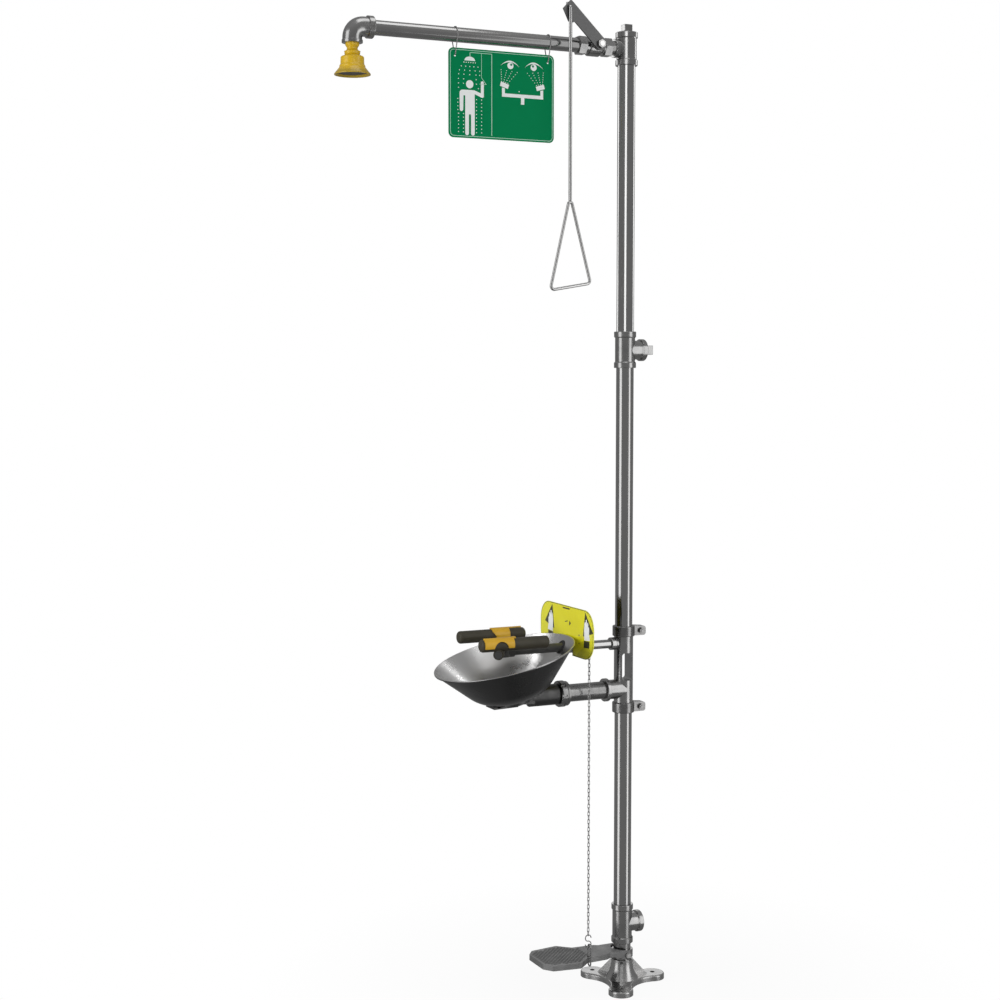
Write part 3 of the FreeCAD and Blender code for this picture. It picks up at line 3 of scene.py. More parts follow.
import bmesh
import bpy
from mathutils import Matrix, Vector


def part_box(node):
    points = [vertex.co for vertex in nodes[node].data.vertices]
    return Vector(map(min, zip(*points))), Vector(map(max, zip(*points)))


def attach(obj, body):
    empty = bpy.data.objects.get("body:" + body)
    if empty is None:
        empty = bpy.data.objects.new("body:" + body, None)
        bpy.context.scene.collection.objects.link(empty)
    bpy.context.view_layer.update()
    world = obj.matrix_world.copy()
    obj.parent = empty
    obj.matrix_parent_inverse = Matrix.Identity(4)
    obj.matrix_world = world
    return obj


# Looks of the eyewash station: finishes for the CAD nodes, the printed and raised details that ride on
# them, and the studio.  Lengths written in millimetres are multiplied by MM where they enter the scene.

MM = 0.001

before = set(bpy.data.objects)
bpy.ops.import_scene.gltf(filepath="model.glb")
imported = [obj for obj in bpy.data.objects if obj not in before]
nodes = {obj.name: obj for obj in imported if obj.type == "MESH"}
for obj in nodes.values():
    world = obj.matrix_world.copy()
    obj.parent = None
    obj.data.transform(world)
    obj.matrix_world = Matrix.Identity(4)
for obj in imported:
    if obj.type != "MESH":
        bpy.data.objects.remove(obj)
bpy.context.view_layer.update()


# ---------------------------------------------------------------- node helpers

class Shader:
    """Short way to write a material's node tree."""

    def __init__(self, name):
        self.material = bpy.data.materials.new(name)
        self.material.use_nodes = True
        self.tree = self.material.node_tree
        self.tree.nodes.clear()
        self.output = self.tree.nodes.new("ShaderNodeOutputMaterial")
        self.where = self.tree.nodes.new("ShaderNodeTexCoord").outputs["Object"]

    def add(self, kind, settings=None, **inputs):
        """New node; inputs are values or other nodes' outputs, with _ for spaces in their names."""
        item = self.tree.nodes.new(kind)
        for key, value in (settings or {}).items():
            setattr(item, key, value)
        for key, value in inputs.items():
            socket = item.inputs[int(key[1:])] if key[0] == "n" and key[1:].isdigit() \
                else item.inputs[key.replace("_", " ")]
            if isinstance(value, bpy.types.NodeSocket):
                self.tree.links.new(value, socket)
            else:
                socket.default_value = value
        return item

    def stretched(self, scale):
        """Object coordinates scaled per axis, so that a texture can run along a grain."""
        return self.add("ShaderNodeMapping", Vector=self.where, Scale=scale).outputs["Vector"]

    def noise(self, scale, detail=3.0, grain=(1, 1, 1), rough=0.5):
        """Noise value, 0 to 1, with scale in features per metre."""
        return self.add("ShaderNodeTexNoise", Vector=self.stretched(grain), Scale=scale, Detail=detail,
                        Roughness=rough).outputs["Fac"]

    def ramp(self, factor, low, high, start=0.3, stop=0.7):
        """Number that goes from low to high as the factor goes from start to stop."""
        return self.add("ShaderNodeMapRange", {"clamp": True}, Value=factor, n1=start, n2=stop, n3=low,
                        n4=high).outputs["Result"]

    def tint(self, factor, first, second):
        """Colour between two colours."""
        mix = self.add("ShaderNodeMix", {"data_type": "RGBA"}, n0=factor, n6=first, n7=second)
        return mix.outputs[2]

    def bump(self, height, strength, distance, normal=None):
        """Normal roughened by a height; distance is in millimetres."""
        item = self.add("ShaderNodeBump", Height=height, Strength=strength, Distance=distance * MM)
        if normal is not None:
            self.tree.links.new(normal, item.inputs["Normal"])
        return item.outputs["Normal"]

    def soft_edges(self, radius):
        """Normal that rounds every edge by a radius in millimetres."""
        return self.add("ShaderNodeBevel", {"samples": 4}, Radius=radius * MM).outputs["Normal"]

    def finish(self, **inputs):
        """Principled surface from the given inputs."""
        surface = self.add("ShaderNodeBsdfPrincipled", **inputs)
        self.tree.links.new(surface.outputs["BSDF"], self.output.inputs["Surface"])
        return self.material


def grey(value, warmth=0.0):
    """Opaque grey; warmth shifts it a little towards yellow."""
    return (value * (1 + warmth), value, value * (1 - warmth), 1)


def rgb(red, green, blue):
    """Opaque colour."""
    return (red, green, blue, 1)


# ---------------------------------------------------------------- finishes

def drawn_steel(name, grain, tone=0.42, rough=(0.10, 0.16)):
    """Polished stainless pipe with fine draw lines along it."""
    s = Shader(name)
    lines = s.noise(900, 2, grain)
    clouds = s.noise(7, 4)
    return s.finish(
        Base_Color=s.tint(s.ramp(clouds, 0, 1), grey(tone * 0.97), grey(tone * 1.03, 0.01)),
        Metallic=1.0, Roughness=s.ramp(s.noise(16, 5), *rough),
        Normal=s.bump(lines, 0.12, 0.04))


def cast_steel(name, tone=0.38, rough=(0.17, 0.28), grain=0.12, edge=1.0):
    """Polished investment casting: slight orange peel, small pits, rounded edges."""
    s = Shader(name)
    peel = s.noise(260, 4)
    pits = s.add("ShaderNodeTexVoronoi", {"feature": "F1"}, Vector=s.where, Scale=420.0).outputs["Distance"]
    rounded = s.soft_edges(edge)
    sanded = s.bump(peel, grain, 0.3, rounded)
    pitted = s.bump(s.ramp(pits, 0, 1, 0.0, 0.22), 0.06, 0.1, sanded)
    return s.finish(
        Base_Color=s.tint(s.ramp(s.noise(30, 5), 0, 1), grey(tone * 0.88), grey(tone * 1.08, 0.01)),
        Metallic=1.0, Roughness=s.ramp(s.noise(55, 4), *rough), Normal=pitted)


def brushed_plate(name, grain, tone=0.3, rough=(0.3, 0.48), edge=0.5):
    """Flat stock with long brush marks."""
    s = Shader(name)
    marks = s.noise(1400, 3, grain)
    return s.finish(
        Base_Color=s.tint(s.ramp(marks, 0, 1), grey(tone * 0.7), grey(tone * 1.2)),
        Metallic=1.0, Roughness=s.ramp(marks, *rough), Anisotropic=0.4,
        Normal=s.bump(marks, 0.35, 0.08, s.soft_edges(edge)))


BOWL_TILT = math.radians(14)        # how far the bowl leans away from the stand


def spun_bowl(name):
    """Spun sheet: faint rings about the bowl's axis, and painted shade: pale where it faces up and dark
    below, in place of the dark room that the outside of the bowl would reflect.
    """
    s = Shader(name)
    centre = (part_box("bowl")[0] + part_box("bowl")[1]) / 2
    local = s.add("ShaderNodeMapping", {"vector_type": "TEXTURE"}, Vector=s.where, Location=centre,
                  Rotation=(BOWL_TILT, 0, 0)).outputs["Vector"]
    flat = s.add("ShaderNodeVectorMath", {"operation": "MULTIPLY"}, n0=local, n1=(1, 1, 0)).outputs[0]
    rings = s.add("ShaderNodeTexWave", {"wave_type": "RINGS", "rings_direction": "SPHERICAL"}, Vector=flat,
                  Scale=60.0, Distortion=2.5, Detail=3.0, Detail_Scale=1.5).outputs["Fac"]
    facing = s.add("ShaderNodeNewGeometry").outputs["Normal"]
    upward = s.add("ShaderNodeSeparateXYZ", Vector=facing).outputs["Z"]
    # Painted shade: dark grey where the sheet faces down, pale grey where it faces up.
    tone = s.tint(s.ramp(upward, 0, 1, -0.05, 0.15), grey(0.078), grey(0.60, 0.005))
    return s.finish(
        Base_Color=tone, Metallic=1.0, Roughness=s.ramp(s.noise(22, 5), 0.24, 0.36),
        Normal=s.bump(rings, 0.02, 0.05))


def plastic(name, colour, shade, rough=0.3, peel=0.1, edge=0.8, coat=0.0, gloss=0.5):
    """Moulded plastic with a faint surface texture and a slow drift in colour."""
    s = Shader(name)
    texture = s.noise(900, 3)
    return s.finish(
        Base_Color=s.tint(s.ramp(s.noise(18, 4), 0, 1), colour, shade),
        Roughness=s.ramp(s.noise(70, 3), rough * 0.85, rough * 1.2), Coat_Weight=coat,
        Specular_IOR_Level=gloss, Coat_Roughness=0.12,
        Normal=s.bump(texture, peel, 0.12, s.soft_edges(edge)))


def shower_plastic(name):
    """Golden plastic with painted shade: the colour darkens to olive under the rim of the head, where
    little light reaches.
    """
    s = Shader(name)
    height = s.add("ShaderNodeSeparateXYZ", Vector=s.where).outputs["Z"]
    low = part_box("shower_head")[0].z
    # Painted shade: this mask darkens the colour to olive near the bottom of the head.
    rim = s.ramp(height, 1, 0, low + 6 * MM, low + 12 * MM)
    base = s.tint(s.ramp(s.noise(20, 4), 0, 1), rgb(0.50, 0.31, 0.006), rgb(0.56, 0.36, 0.008))
    return s.finish(
        Base_Color=s.tint(rim, base, rgb(0.36, 0.24, 0.01)), Roughness=s.ramp(s.noise(60, 3), 0.22, 0.34),
        Coat_Weight=0.12, Coat_Roughness=0.1, Normal=s.bump(s.noise(800, 3), 0.08, 0.1, s.soft_edges(0.7)))


def paint(name, colour, shade, rough=0.32, edge=0.4, coat=0.25, gloss=0.5):
    """Powder coat: orange peel under a clear sheen."""
    s = Shader(name)
    return s.finish(
        Base_Color=s.tint(s.ramp(s.noise(25, 4), 0, 1), colour, shade),
        Roughness=s.ramp(s.noise(90, 3), rough * 0.85, rough * 1.15), Coat_Weight=coat,
        Specular_IOR_Level=gloss, Coat_Roughness=0.15,
        Normal=s.bump(s.noise(420, 4), 0.1, 0.12, s.soft_edges(edge)))


def treadle_alloy(name):
    """Sand-cast alloy, worn a little brighter in patches."""
    s = Shader(name)
    sand = s.noise(700, 5)
    worn = s.ramp(s.noise(24, 5), 0, 1, 0.45, 0.7)
    return s.finish(
        Base_Color=s.tint(worn, grey(0.18), grey(0.25)), Metallic=0.5,
        Roughness=s.ramp(sand, 0.42, 0.6), Normal=s.bump(sand, 0.3, 0.2, s.soft_edges(0.8)))


# A grain scales the object's axes for a texture, so lines run along the axis with the small number.
ALONG_Z, ALONG_Y, ALONG_X = (1, 1, 0.01), (1, 0.01, 1), (0.01, 1, 1)

upright_steel = drawn_steel("upright_steel", ALONG_Z)
level_steel = drawn_steel("level_steel", ALONG_Y)
casting = cast_steel("polished_casting")
base_casting = cast_steel("base_casting", 0.46, (0.2, 0.32), 0.15, 1.6)
drain_casting = cast_steel("drain_casting", 0.10, (0.34, 0.5), 0.35, 1.2)
satin_casting = cast_steel("satin_casting", 0.27, (0.2, 0.34), 0.2, 0.8)
hardware_steel = cast_steel("hardware_steel", 0.40, (0.2, 0.3), 0.1, 0.35)
stem_steel = drawn_steel("stem_steel", ALONG_X, 0.6, (0.1, 0.2))
wire_steel = drawn_steel("wire_steel", ALONG_Z, 0.55, (0.18, 0.3))
chain_steel = drawn_steel("chain_steel", ALONG_Z, 0.5, (0.2, 0.35))
lever_steel = brushed_plate("lever_steel", (0.02, 0.02, 1), 0.15)
bracket_steel = brushed_plate("bracket_steel", (1, 1, 0.02), 0.35)
bowl_steel = spun_bowl("bowl_steel")
yellow_head = shower_plastic("yellow_head")
amber_cover = plastic("amber_cover", rgb(0.52, 0.29, 0.010), rgb(0.60, 0.35, 0.014), 0.34, coat=0.1)
# Dark plastic for the deflector and the manifold; on the supply tube the same dark colour is painted shade.
dark_plastic = plastic("dark_plastic", rgb(0.03, 0.03, 0.03), rgb(0.045, 0.045, 0.043), 0.45)
bar_plastic = plastic("bar_plastic", rgb(0.036, 0.032, 0.022), rgb(0.050, 0.045, 0.032), 0.45, 0.14, 1.5,
                      gloss=0.3)
rubber = plastic("rubber", rgb(0.012, 0.012, 0.012), rgb(0.02, 0.02, 0.02), 0.7, 0.2)
seat_plastic = plastic("seat_plastic", rgb(0.8, 0.8, 0.78), rgb(0.85, 0.85, 0.83), 0.4)
paddle_paint = paint("paddle_paint", rgb(0.60, 0.58, 0.022), rgb(0.66, 0.63, 0.030))
sign_face = paint("sign_face", rgb(0.0, 0.165, 0.058), rgb(0.0, 0.168, 0.060), 0.4, 0.3, 0.0, 0.04)
white_ink = paint("white_ink", rgb(0.86, 0.88, 0.87), rgb(0.84, 0.87, 0.86), 0.35, 0.05, 0.0, 0.2)
pale_ink = paint("pale_ink", rgb(0.42, 0.70, 0.55), rgb(0.48, 0.74, 0.60), 0.35, 0.05)
green_ink = paint("green_ink", rgb(0.0, 0.19, 0.08), rgb(0.0, 0.21, 0.09), 0.3, 0.05)
dark_ink = paint("dark_ink", rgb(0.035, 0.04, 0.02), rgb(0.06, 0.06, 0.03), 0.4, 0.05)
bright_label = paint("bright_label", rgb(0.76, 0.70, 0.010), rgb(0.80, 0.75, 0.016), 0.34, 0.05)
olive_edge = paint("olive_edge", rgb(0.20, 0.21, 0.02), rgb(0.26, 0.27, 0.03), 0.4, 0.05)
treadle_metal = treadle_alloy("treadle_metal")

FINISHES = {
    upright_steel: ["neck_nipple", "lower_stanchion_pipe", "middle_stanchion_pipe", "upper_stanchion_pipe"],
    level_steel: ["shower_nipple", "shower_arm", "eyewash_nipple"],
    casting: ["waste_tee", "pedestal_fitting", "supply_tee", "supply_tee_plug", "top_tee", "top_tee_plug",
              "shower_valve_body", "shower_valve_cap", "shower_elbow", "eyewash_valve_body",
              "eyewash_valve_cap", "treadle_collar"],
    base_casting: ["floor_base"],
    drain_casting: ["drain_body"],
    satin_casting: ["union_nut", "union_tail", "waste_pipe", "clamp_rings", "clamp_bolts", "clamp_nuts"],
    hardware_steel: ["shower_lever_nut", "sign_wires", "strainer_screw", "paddle_screws", "paddle_stem_nut",
                     "s_hook", "treadle_link", "treadle_pivot_screws", "drain_strainer"],
    stem_steel: ["shower_valve_ball", "shower_valve_stem", "eyewash_valve_ball", "eyewash_valve_stem"],
    wire_steel: ["pull_rod"],
    chain_steel: ["chain"],
    lever_steel: ["shower_lever"],
    bracket_steel: ["paddle_bracket"],
    bowl_steel: ["bowl"],
    yellow_head: ["shower_head"],
    amber_cover: ["spray_covers"],
    # The supply tube's dark finish is painted shade: it stands for the shade under the spray bars.
    dark_plastic: ["shower_head_deflector", "spray_manifold", "supply_tube"],
    bar_plastic: ["left_spray_bar", "right_spray_bar"],
    rubber: ["drain_gasket", "union_gasket", "supply_grommet"],
    seat_plastic: ["shower_valve_seats", "eyewash_valve_seats"],
    paddle_paint: ["push_paddle"],
    sign_face: ["safety_sign"],
    treadle_metal: ["treadle"],
}


def finish_nodes():
    """Give every CAD node its material, and keep the paddle's yellow out of the pipes' reflections."""
    nodes["push_paddle"].visible_glossy = False
    for material, names in FINISHES.items():
        for name in names:
            mesh = nodes[name].data
            mesh.materials.clear()
            mesh.materials.append(material)


# ---------------------------------------------------------------- flat pieces

SUNK = -0.2         # where a raised detail starts, just under its face, in millimetres


def piece(name, mesh, material, body):
    """Put a finished mesh into the scene and let it ride on a CAD body."""
    data = bpy.data.meshes.new(name)
    bmesh.ops.recalc_face_normals(mesh, faces=mesh.faces)
    mesh.to_mesh(data)
    mesh.free()
    item = bpy.data.objects.new(name, data)
    bpy.context.scene.collection.objects.link(item)
    data.materials.append(material)
    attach(item, body)
    return item


def prism(mesh, outline, to_world, low, high, hole=None):
    """Solid between two heights over a flat outline, with an optional hole of as many points."""
    def layer(points, height):
        return [mesh.verts.new(to_world(x, y, height)) for x, y in points]

    bottom, top = layer(outline, low), layer(outline, high)
    count = len(outline)
    for i in range(count):
        j = (i + 1) % count
        mesh.faces.new((bottom[i], bottom[j], top[j], top[i]))
    if hole is None:
        mesh.faces.new(top)
        mesh.faces.new(bottom[::-1])
        return
    inner_bottom, inner_top = layer(hole, low), layer(hole, high)
    for i in range(count):
        j = (i + 1) % count
        mesh.faces.new((inner_bottom[j], inner_bottom[i], inner_top[i], inner_top[j]))
        mesh.faces.new((top[i], top[j], inner_top[j], inner_top[i]))
        mesh.faces.new((bottom[j], bottom[i], inner_bottom[i], inner_bottom[j]))


def arc(x, y, radius, start, stop, steps=10):
    """Points on an arc; angles in degrees."""
    angles = [math.radians(start + (stop - start) * i / steps) for i in range(steps + 1)]
    return [(x + radius * math.cos(a), y + radius * math.sin(a)) for a in angles]


def disc(x, y, radius, steps=28):
    """Points round a circle, the first one not repeated."""
    return arc(x, y, radius, 0, 360, steps)[:-1]


def bar(x1, y1, x2, y2, width):
    """Straight stroke with square ends."""
    length = math.hypot(x2 - x1, y2 - y1)
    across = (-(y2 - y1) / length * width / 2, (x2 - x1) / length * width / 2)
    return [(x1 + across[0], y1 + across[1]), (x1 - across[0], y1 - across[1]),
            (x2 - across[0], y2 - across[1]), (x2 + across[0], y2 + across[1])]


def round_rectangle(left, top, right, bottom, radius):
    """Rectangle with four round corners, with y growing downwards."""
    return (arc(right - radius, top + radius, radius, -90, 0, 8)
            + arc(right - radius, bottom - radius, radius, 0, 90, 8)
            + arc(left + radius, bottom - radius, radius, 90, 180, 8)
            + arc(left + radius, top + radius, radius, 180, 270, 8))


def crescent(left, peak, right, thick):
    """Brow over an eye: an arch through three points, thick in its middle and pointed at its ends."""
    def arch(lift):
        points = []
        for i in range(17):
            t = i / 16
            x, y = [(1 - t) ** 2 * a + 2 * t * (1 - t) * (2 * b - (a + c) / 2) + t ** 2 * c
                    for a, b, c in zip(left, peak, right)]
            points.append((x, y - lift * math.sin(math.pi * t)))
        return points
    return arch(thick / 2) + arch(-thick / 2)[-2:0:-1]


# ---------------------------------------------------------------- safety sign

INK = 0.35                      # height of the printed graphics over a face, in millimetres
SIGN_GRID = (263, 200)          # width and height of the grid that the graphics are drawn on


def sign_outlines():
    """Pale lines, white shapes and eyes on the sign's grid, from its top left corner, y downwards."""
    # Pale: the dividing line, and the drawn shower's pipe, rod and handle.
    pale = [bar(106, 9.2, 106, 192, 1.5), bar(52.3, 8.5, 106.7, 8.5, 1.3), bar(52.3, 9.2, 52.3, 18, 1.6),
            bar(80.6, 9.2, 80.6, 63, 0.9), bar(80.6, 63, 92.5, 78, 1.0), bar(75.5, 77.5, 91.5, 77.5, 1.0)]
    # White: the shower head, and the person who reaches up for the handle.
    dome = [(38.5, 27)] + arc(51.8, 26.5, 13, 180, 360, 14)[1:-1] + [(65, 27)]
    dome = [(x, 27 - (27 - y) * 0.68) for x, y in dome]
    person = (
        arc(34.5, 100.5, 8, 180, 262, 8) + [(48, 92.3), (62.5, 92.3), (79, 98.2), (79, 75)]
        + arc(82.6, 74.6, 3.7, 180, 360, 8) + [(86.3, 103)] + arc(82.3, 104, 4, 0, 100, 5)
        + [(63.8, 101), (63.8, 189)] + arc(59.3, 189.4, 4.5, 0, 180, 8) + [(54.8, 149.5)]
        + arc(52, 149, 2.6, 0, -180, 6) + [(49.4, 189)] + arc(44.9, 189.4, 4.5, 0, 180, 8)
        + [(40.4, 105), (36.2, 105), (35.4, 136)] + arc(31.2, 136.4, 4.2, 0, 180, 6) + [(26.6, 105)])
    white = [dome, disc(51.5, 79.5, 9.1), person]
    # Brows over two eyes, two tilted spray heads, the pipe that carries them, and a dot above it.
    white += [crescent((127.5, 32.5), (151.5, 21.5), (174.5, 33), 3.4),
              crescent((189, 33), (211.5, 21.5), (236, 34), 3.4)]
    eyes = [(152.6, 31.2, 154.6, 28.6), (211.2, 31.2, 209.2, 28.6)]
    for x, y, side in ((137.7, 76, 1), (228.2, 76, -1)):
        lean = math.radians(17 * side)
        along, down = (math.cos(lean), math.sin(lean)), (-math.sin(lean), math.cos(lean))
        white.append([(x + a * along[0] + d * down[0], y + a * along[1] + d * down[1])
                      for a, d in ((-10.5, -5), (10.5, -5), (10.5, 5), (-10.5, 5))])
    white.append([(131.5, 81.2), (138.6, 82.9), (138.6, 94.2), (228.4, 94.2), (228.4, 82.9), (235.5, 81.2),
                  (235.5, 102), (187.5, 102), (187.5, 117), (179.2, 117), (179.2, 102), (131.5, 102)])
    white.append(disc(174.5, 88, 1.4, 10))
    return pale, white, eyes


def sign_drops():
    """Water drops: under the shower head, beside the person, and from the two eyewash heads."""
    drops = [(37.5 + 5.6 * i, 31) for i in range(6)]
    for y, xs in ((40, (31, 41.8, 51.7, 61.7, 72)), (49, (26.5, 39, 52, 65, 76.2)),
                  (58, (24.5, 37.3, 51.6, 67, 76)), (68.5, (24, 36.6, 67.5)), (78.5, (24, 36.2, 68)),
                  (88, (24, 73))):
        drops += [(x, y) for x in xs]
    for step in range(10):
        y = 113 + 8.2 * step
        drops += [(22.3 if y < 142 else 24, y), (68.2, y), (80.8, y)]
        if y > 145:
            drops.append((36.2, y))
    fans = []
    for first_foot, first_head, mirrored in ((130.5, 129.5, False), (218.3, 195.6, True)):
        for line in range(4):
            foot, head = first_foot + 5.2 * line, first_head + 13.4 * line
            lower = 1.2 * (3 - line if mirrored else line)
            for t in (0, 0.2, 0.4, 0.6, 0.8, 1):
                fans.append((foot + (head - foot) * t, 67.5 - 26 * t + lower))
    return [disc(x, y, 1.15, 8) for x, y in drops] + [disc(x, y, 0.95, 8) for x, y in fans]


def build_sign():
    """Print the graphics on both faces of the sign."""
    low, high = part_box("safety_sign")
    pale, white, eyes = sign_outlines()
    drops = sign_drops()
    border = [round_rectangle(inset, inset, SIGN_GRID[0] - inset, SIGN_GRID[1] - inset, radius)
              for inset, radius in ((3.4, 9), (4.7, 7.7))]
    across, down = (high.y - low.y) / SIGN_GRID[0], (high.z - low.z) / SIGN_GRID[1]
    for label, side in (("right", 1), ("left", -1)):
        start = low.y if side > 0 else high.y
        face = high.x if side > 0 else low.x

        def on_face(x, y, height, start=start, face=face, side=side):
            return (face + side * height * MM, start + side * x * across, high.z - y * down)

        lines, shapes, dots, pupils = bmesh.new(), bmesh.new(), bmesh.new(), bmesh.new()
        prism(lines, border[0], on_face, SUNK, INK, hole=border[1])
        for outline in pale:
            prism(lines, outline, on_face, SUNK, INK)
        for outline in white:
            prism(shapes, outline, on_face, SUNK, INK)
        for x, y, spot_x, spot_y in eyes:
            prism(shapes, disc(x, y, 7.6), on_face, SUNK, INK + 0.1)
            prism(pupils, disc(spot_x, spot_y, 2.6), on_face, 0.1, INK + 0.25)
        for outline in drops:
            prism(dots, outline, on_face, SUNK, INK)
        piece(f"sign_lines_{label}", lines, pale_ink, "sign")
        piece(f"sign_pictogram_{label}", shapes, white_ink, "sign")
        piece(f"sign_drops_{label}", dots, white_ink, "sign")
        piece(f"sign_pupils_{label}", pupils, green_ink, "sign")


# ---------------------------------------------------------------- push paddle

VALVE_Z = 844.5     # height of the eyewash valve's axis, in millimetres


def paddle_outline(inset):
    """Paddle seen from the front, x to the right and z up from the valve's axis, moved inwards."""
    first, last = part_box("push_paddle")
    left, right = first.x / MM + inset, last.x / MM - inset
    low, high = first.z / MM - VALVE_Z + inset, last.z / MM - VALVE_Z - inset
    corner, bend = 45 - inset, 12
    notch, top = 21 + inset, 21 + inset
    points = [(notch, low), (right - corner, low)]
    points += arc(right - corner, low + corner, corner, -90, 0, 10)[1:]
    points += arc(right - corner, high - corner, corner, 0, 90, 10)
    points += arc(left + corner, high - corner, corner, 90, 180, 10)
    points += arc(left + corner, low + corner, corner, 180, 270, 10)
    points += [(-notch, low)]
    points += arc(bend - notch, top - bend, bend, 180, 90, 8)
    points += arc(notch - bend, top - bend, bend, 90, 0, 8)
    return points


def build_paddle():
    """Printed front of the push paddle: edge line, bright panel, two hands in triangles, push marks."""
    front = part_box("push_paddle")[0].y

    def on_front(x, z, height):
        return (x * MM, front - height * MM, (VALVE_Z + z) * MM)

    edge, panel, dark, white = bmesh.new(), bmesh.new(), bmesh.new(), bmesh.new()
    prism(edge, paddle_outline(0.4), on_front, SUNK, 0.25, hole=paddle_outline(2.0))
    shelf = 24          # half the width, and the top, of the panel's step round the notch
    prism(panel, [(-82, 12), (-82, 96), (82, 96), (82, 12), (40, -14), (shelf, -14), (shelf, shelf),
                  (-shelf, shelf), (-shelf, -14), (-40, -14)], on_front, SUNK, 0.2)
    for side in (1, -1):
        triangle = [(side * 87, 93), (side * 76, 35), (side * 127, 48)]
        prism(dark, triangle, on_front, SUNK, 0.45)
        prism(dark, [(side * x, z) for x, z in ((80, 9), (108, 11), (109, 27), (81, 26))], on_front,
              SUNK, 0.45)
        # An open hand over the triangle, its wrist on the dark block below.
        hand = [(84, 27), (82, 52), (84, 66), (87, 73), (90, 66), (91, 76), (95, 78), (97, 66), (100, 72),
                (103, 69), (103, 58), (106, 62), (108, 57), (107, 44), (111, 29)]
        prism(white, [(side * x, z) for x, z in hand], on_front, 0.1, 0.7)
    # A line at the top of the panel, and a small arrow in its middle.
    prism(dark, bar(-30, 91.5, 6, 91.5, 3.4), on_front, 0.1, 0.45)
    prism(dark, bar(-18, 59, -4, 62, 2.4), on_front, 0.1, 0.45)
    prism(dark, [(4, 52), (13, 58), (5, 64)], on_front, 0.1, 0.45)
    piece("paddle_edge_line", edge, olive_edge, "paddle")
    piece("paddle_panel", panel, bright_label, "paddle")
    piece("paddle_marks", dark, dark_ink, "paddle")
    piece("paddle_hands", white, white_ink, "paddle")


# ---------------------------------------------------------------- treadle

def inside(x, y, outline):
    """True when a point lies within an outline."""
    odd = False
    for (x1, y1), (x2, y2) in zip(outline, outline[1:] + outline[:1]):
        if (y1 > y) != (y2 > y) and x < (x2 - x1) * (y - y1) / (y2 - y1) + x1:
            odd = not odd
    return odd


def build_tread():
    """Raised diamonds, with bevelled tops, over the wide part of the treadle."""
    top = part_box("treadle")[1].z
    half = [(34, -231), (56, -214), (65, -150), (58, -140), (38, -122), (34, -104)]
    outline = half + [(-x, y) for x, y in reversed(half)]
    side, groove, rise, crown = 6.2, 1.7, 0.6, 0.8      # crown is the top's size over the foot's
    pitch, reach = (side + groove) / math.sqrt(2), side / math.sqrt(2)
    corners = [(reach, 0), (0, reach), (-reach, 0), (0, -reach)]
    mesh = bmesh.new()
    for row in range(-30, 31):
        for column in range(-20, 21):
            x, y = column * 2 * pitch + (row % 2) * pitch, -170 + row * pitch
            if not all(inside(x + a, y + b, outline) for a, b in corners):
                continue
            foot = [mesh.verts.new(((x + a) * MM, (y + b) * MM, top + SUNK * MM)) for a, b in corners]
            flat = [mesh.verts.new(((x + a * crown) * MM, (y + b * crown) * MM, top + rise * MM))
                    for a, b in corners]
            for i in range(4):
                j = (i + 1) % 4
                mesh.faces.new((foot[i], foot[j], flat[j], flat[i]))
            mesh.faces.new(flat)
            mesh.faces.new(foot[::-1])
    piece("treadle_tread", mesh, treadle_metal, "treadle")


# ---------------------------------------------------------------- studio

CAMERA_AZIMUTH = 65.38          # degrees from -Y towards +X
CAMERA_PLACE, CAMERA_DIRECTION = (3.727, -2.038, 1.502), Vector((-0.9067, 0.4154, -0.0728))
BOWL_MIDDLE = (0, -0.32, 0.8)

# Nodes and pieces that have lights of their own.
PADDLE_PIECES = ["push_paddle", "paddle_panel", "paddle_edge_line", "paddle_marks", "paddle_hands"]
ARM_NODES = ["shower_arm", "shower_nipple"]
BASE_NODES = ["floor_base", "treadle", "treadle_collar", "waste_tee"]
UPPER_NODES = ["upper_stanchion_pipe", "top_tee", "top_tee_plug"]


def aim(item, target):
    """Turn a light or camera to look at a point."""
    item.rotation_mode = "QUATERNION"
    item.rotation_quaternion = (Vector(target) - item.location).to_track_quat("-Z", "Y")


def softbox(name, azimuth, distance, height, target, size, power, glossy=True):
    """Area light on a circle round the stand; azimuth is measured from the camera's side, to the right."""
    data = bpy.data.lights.new(name, "AREA")
    data.shape = "RECTANGLE"
    data.size, data.size_y = size
    data.energy = power
    item = bpy.data.objects.new(name, data)
    angle = math.radians(CAMERA_AZIMUTH + azimuth)
    item.location = (distance * math.sin(angle), -distance * math.cos(angle), height)
    item.visible_glossy = glossy
    bpy.context.scene.collection.objects.link(item)
    aim(item, target)
    return item


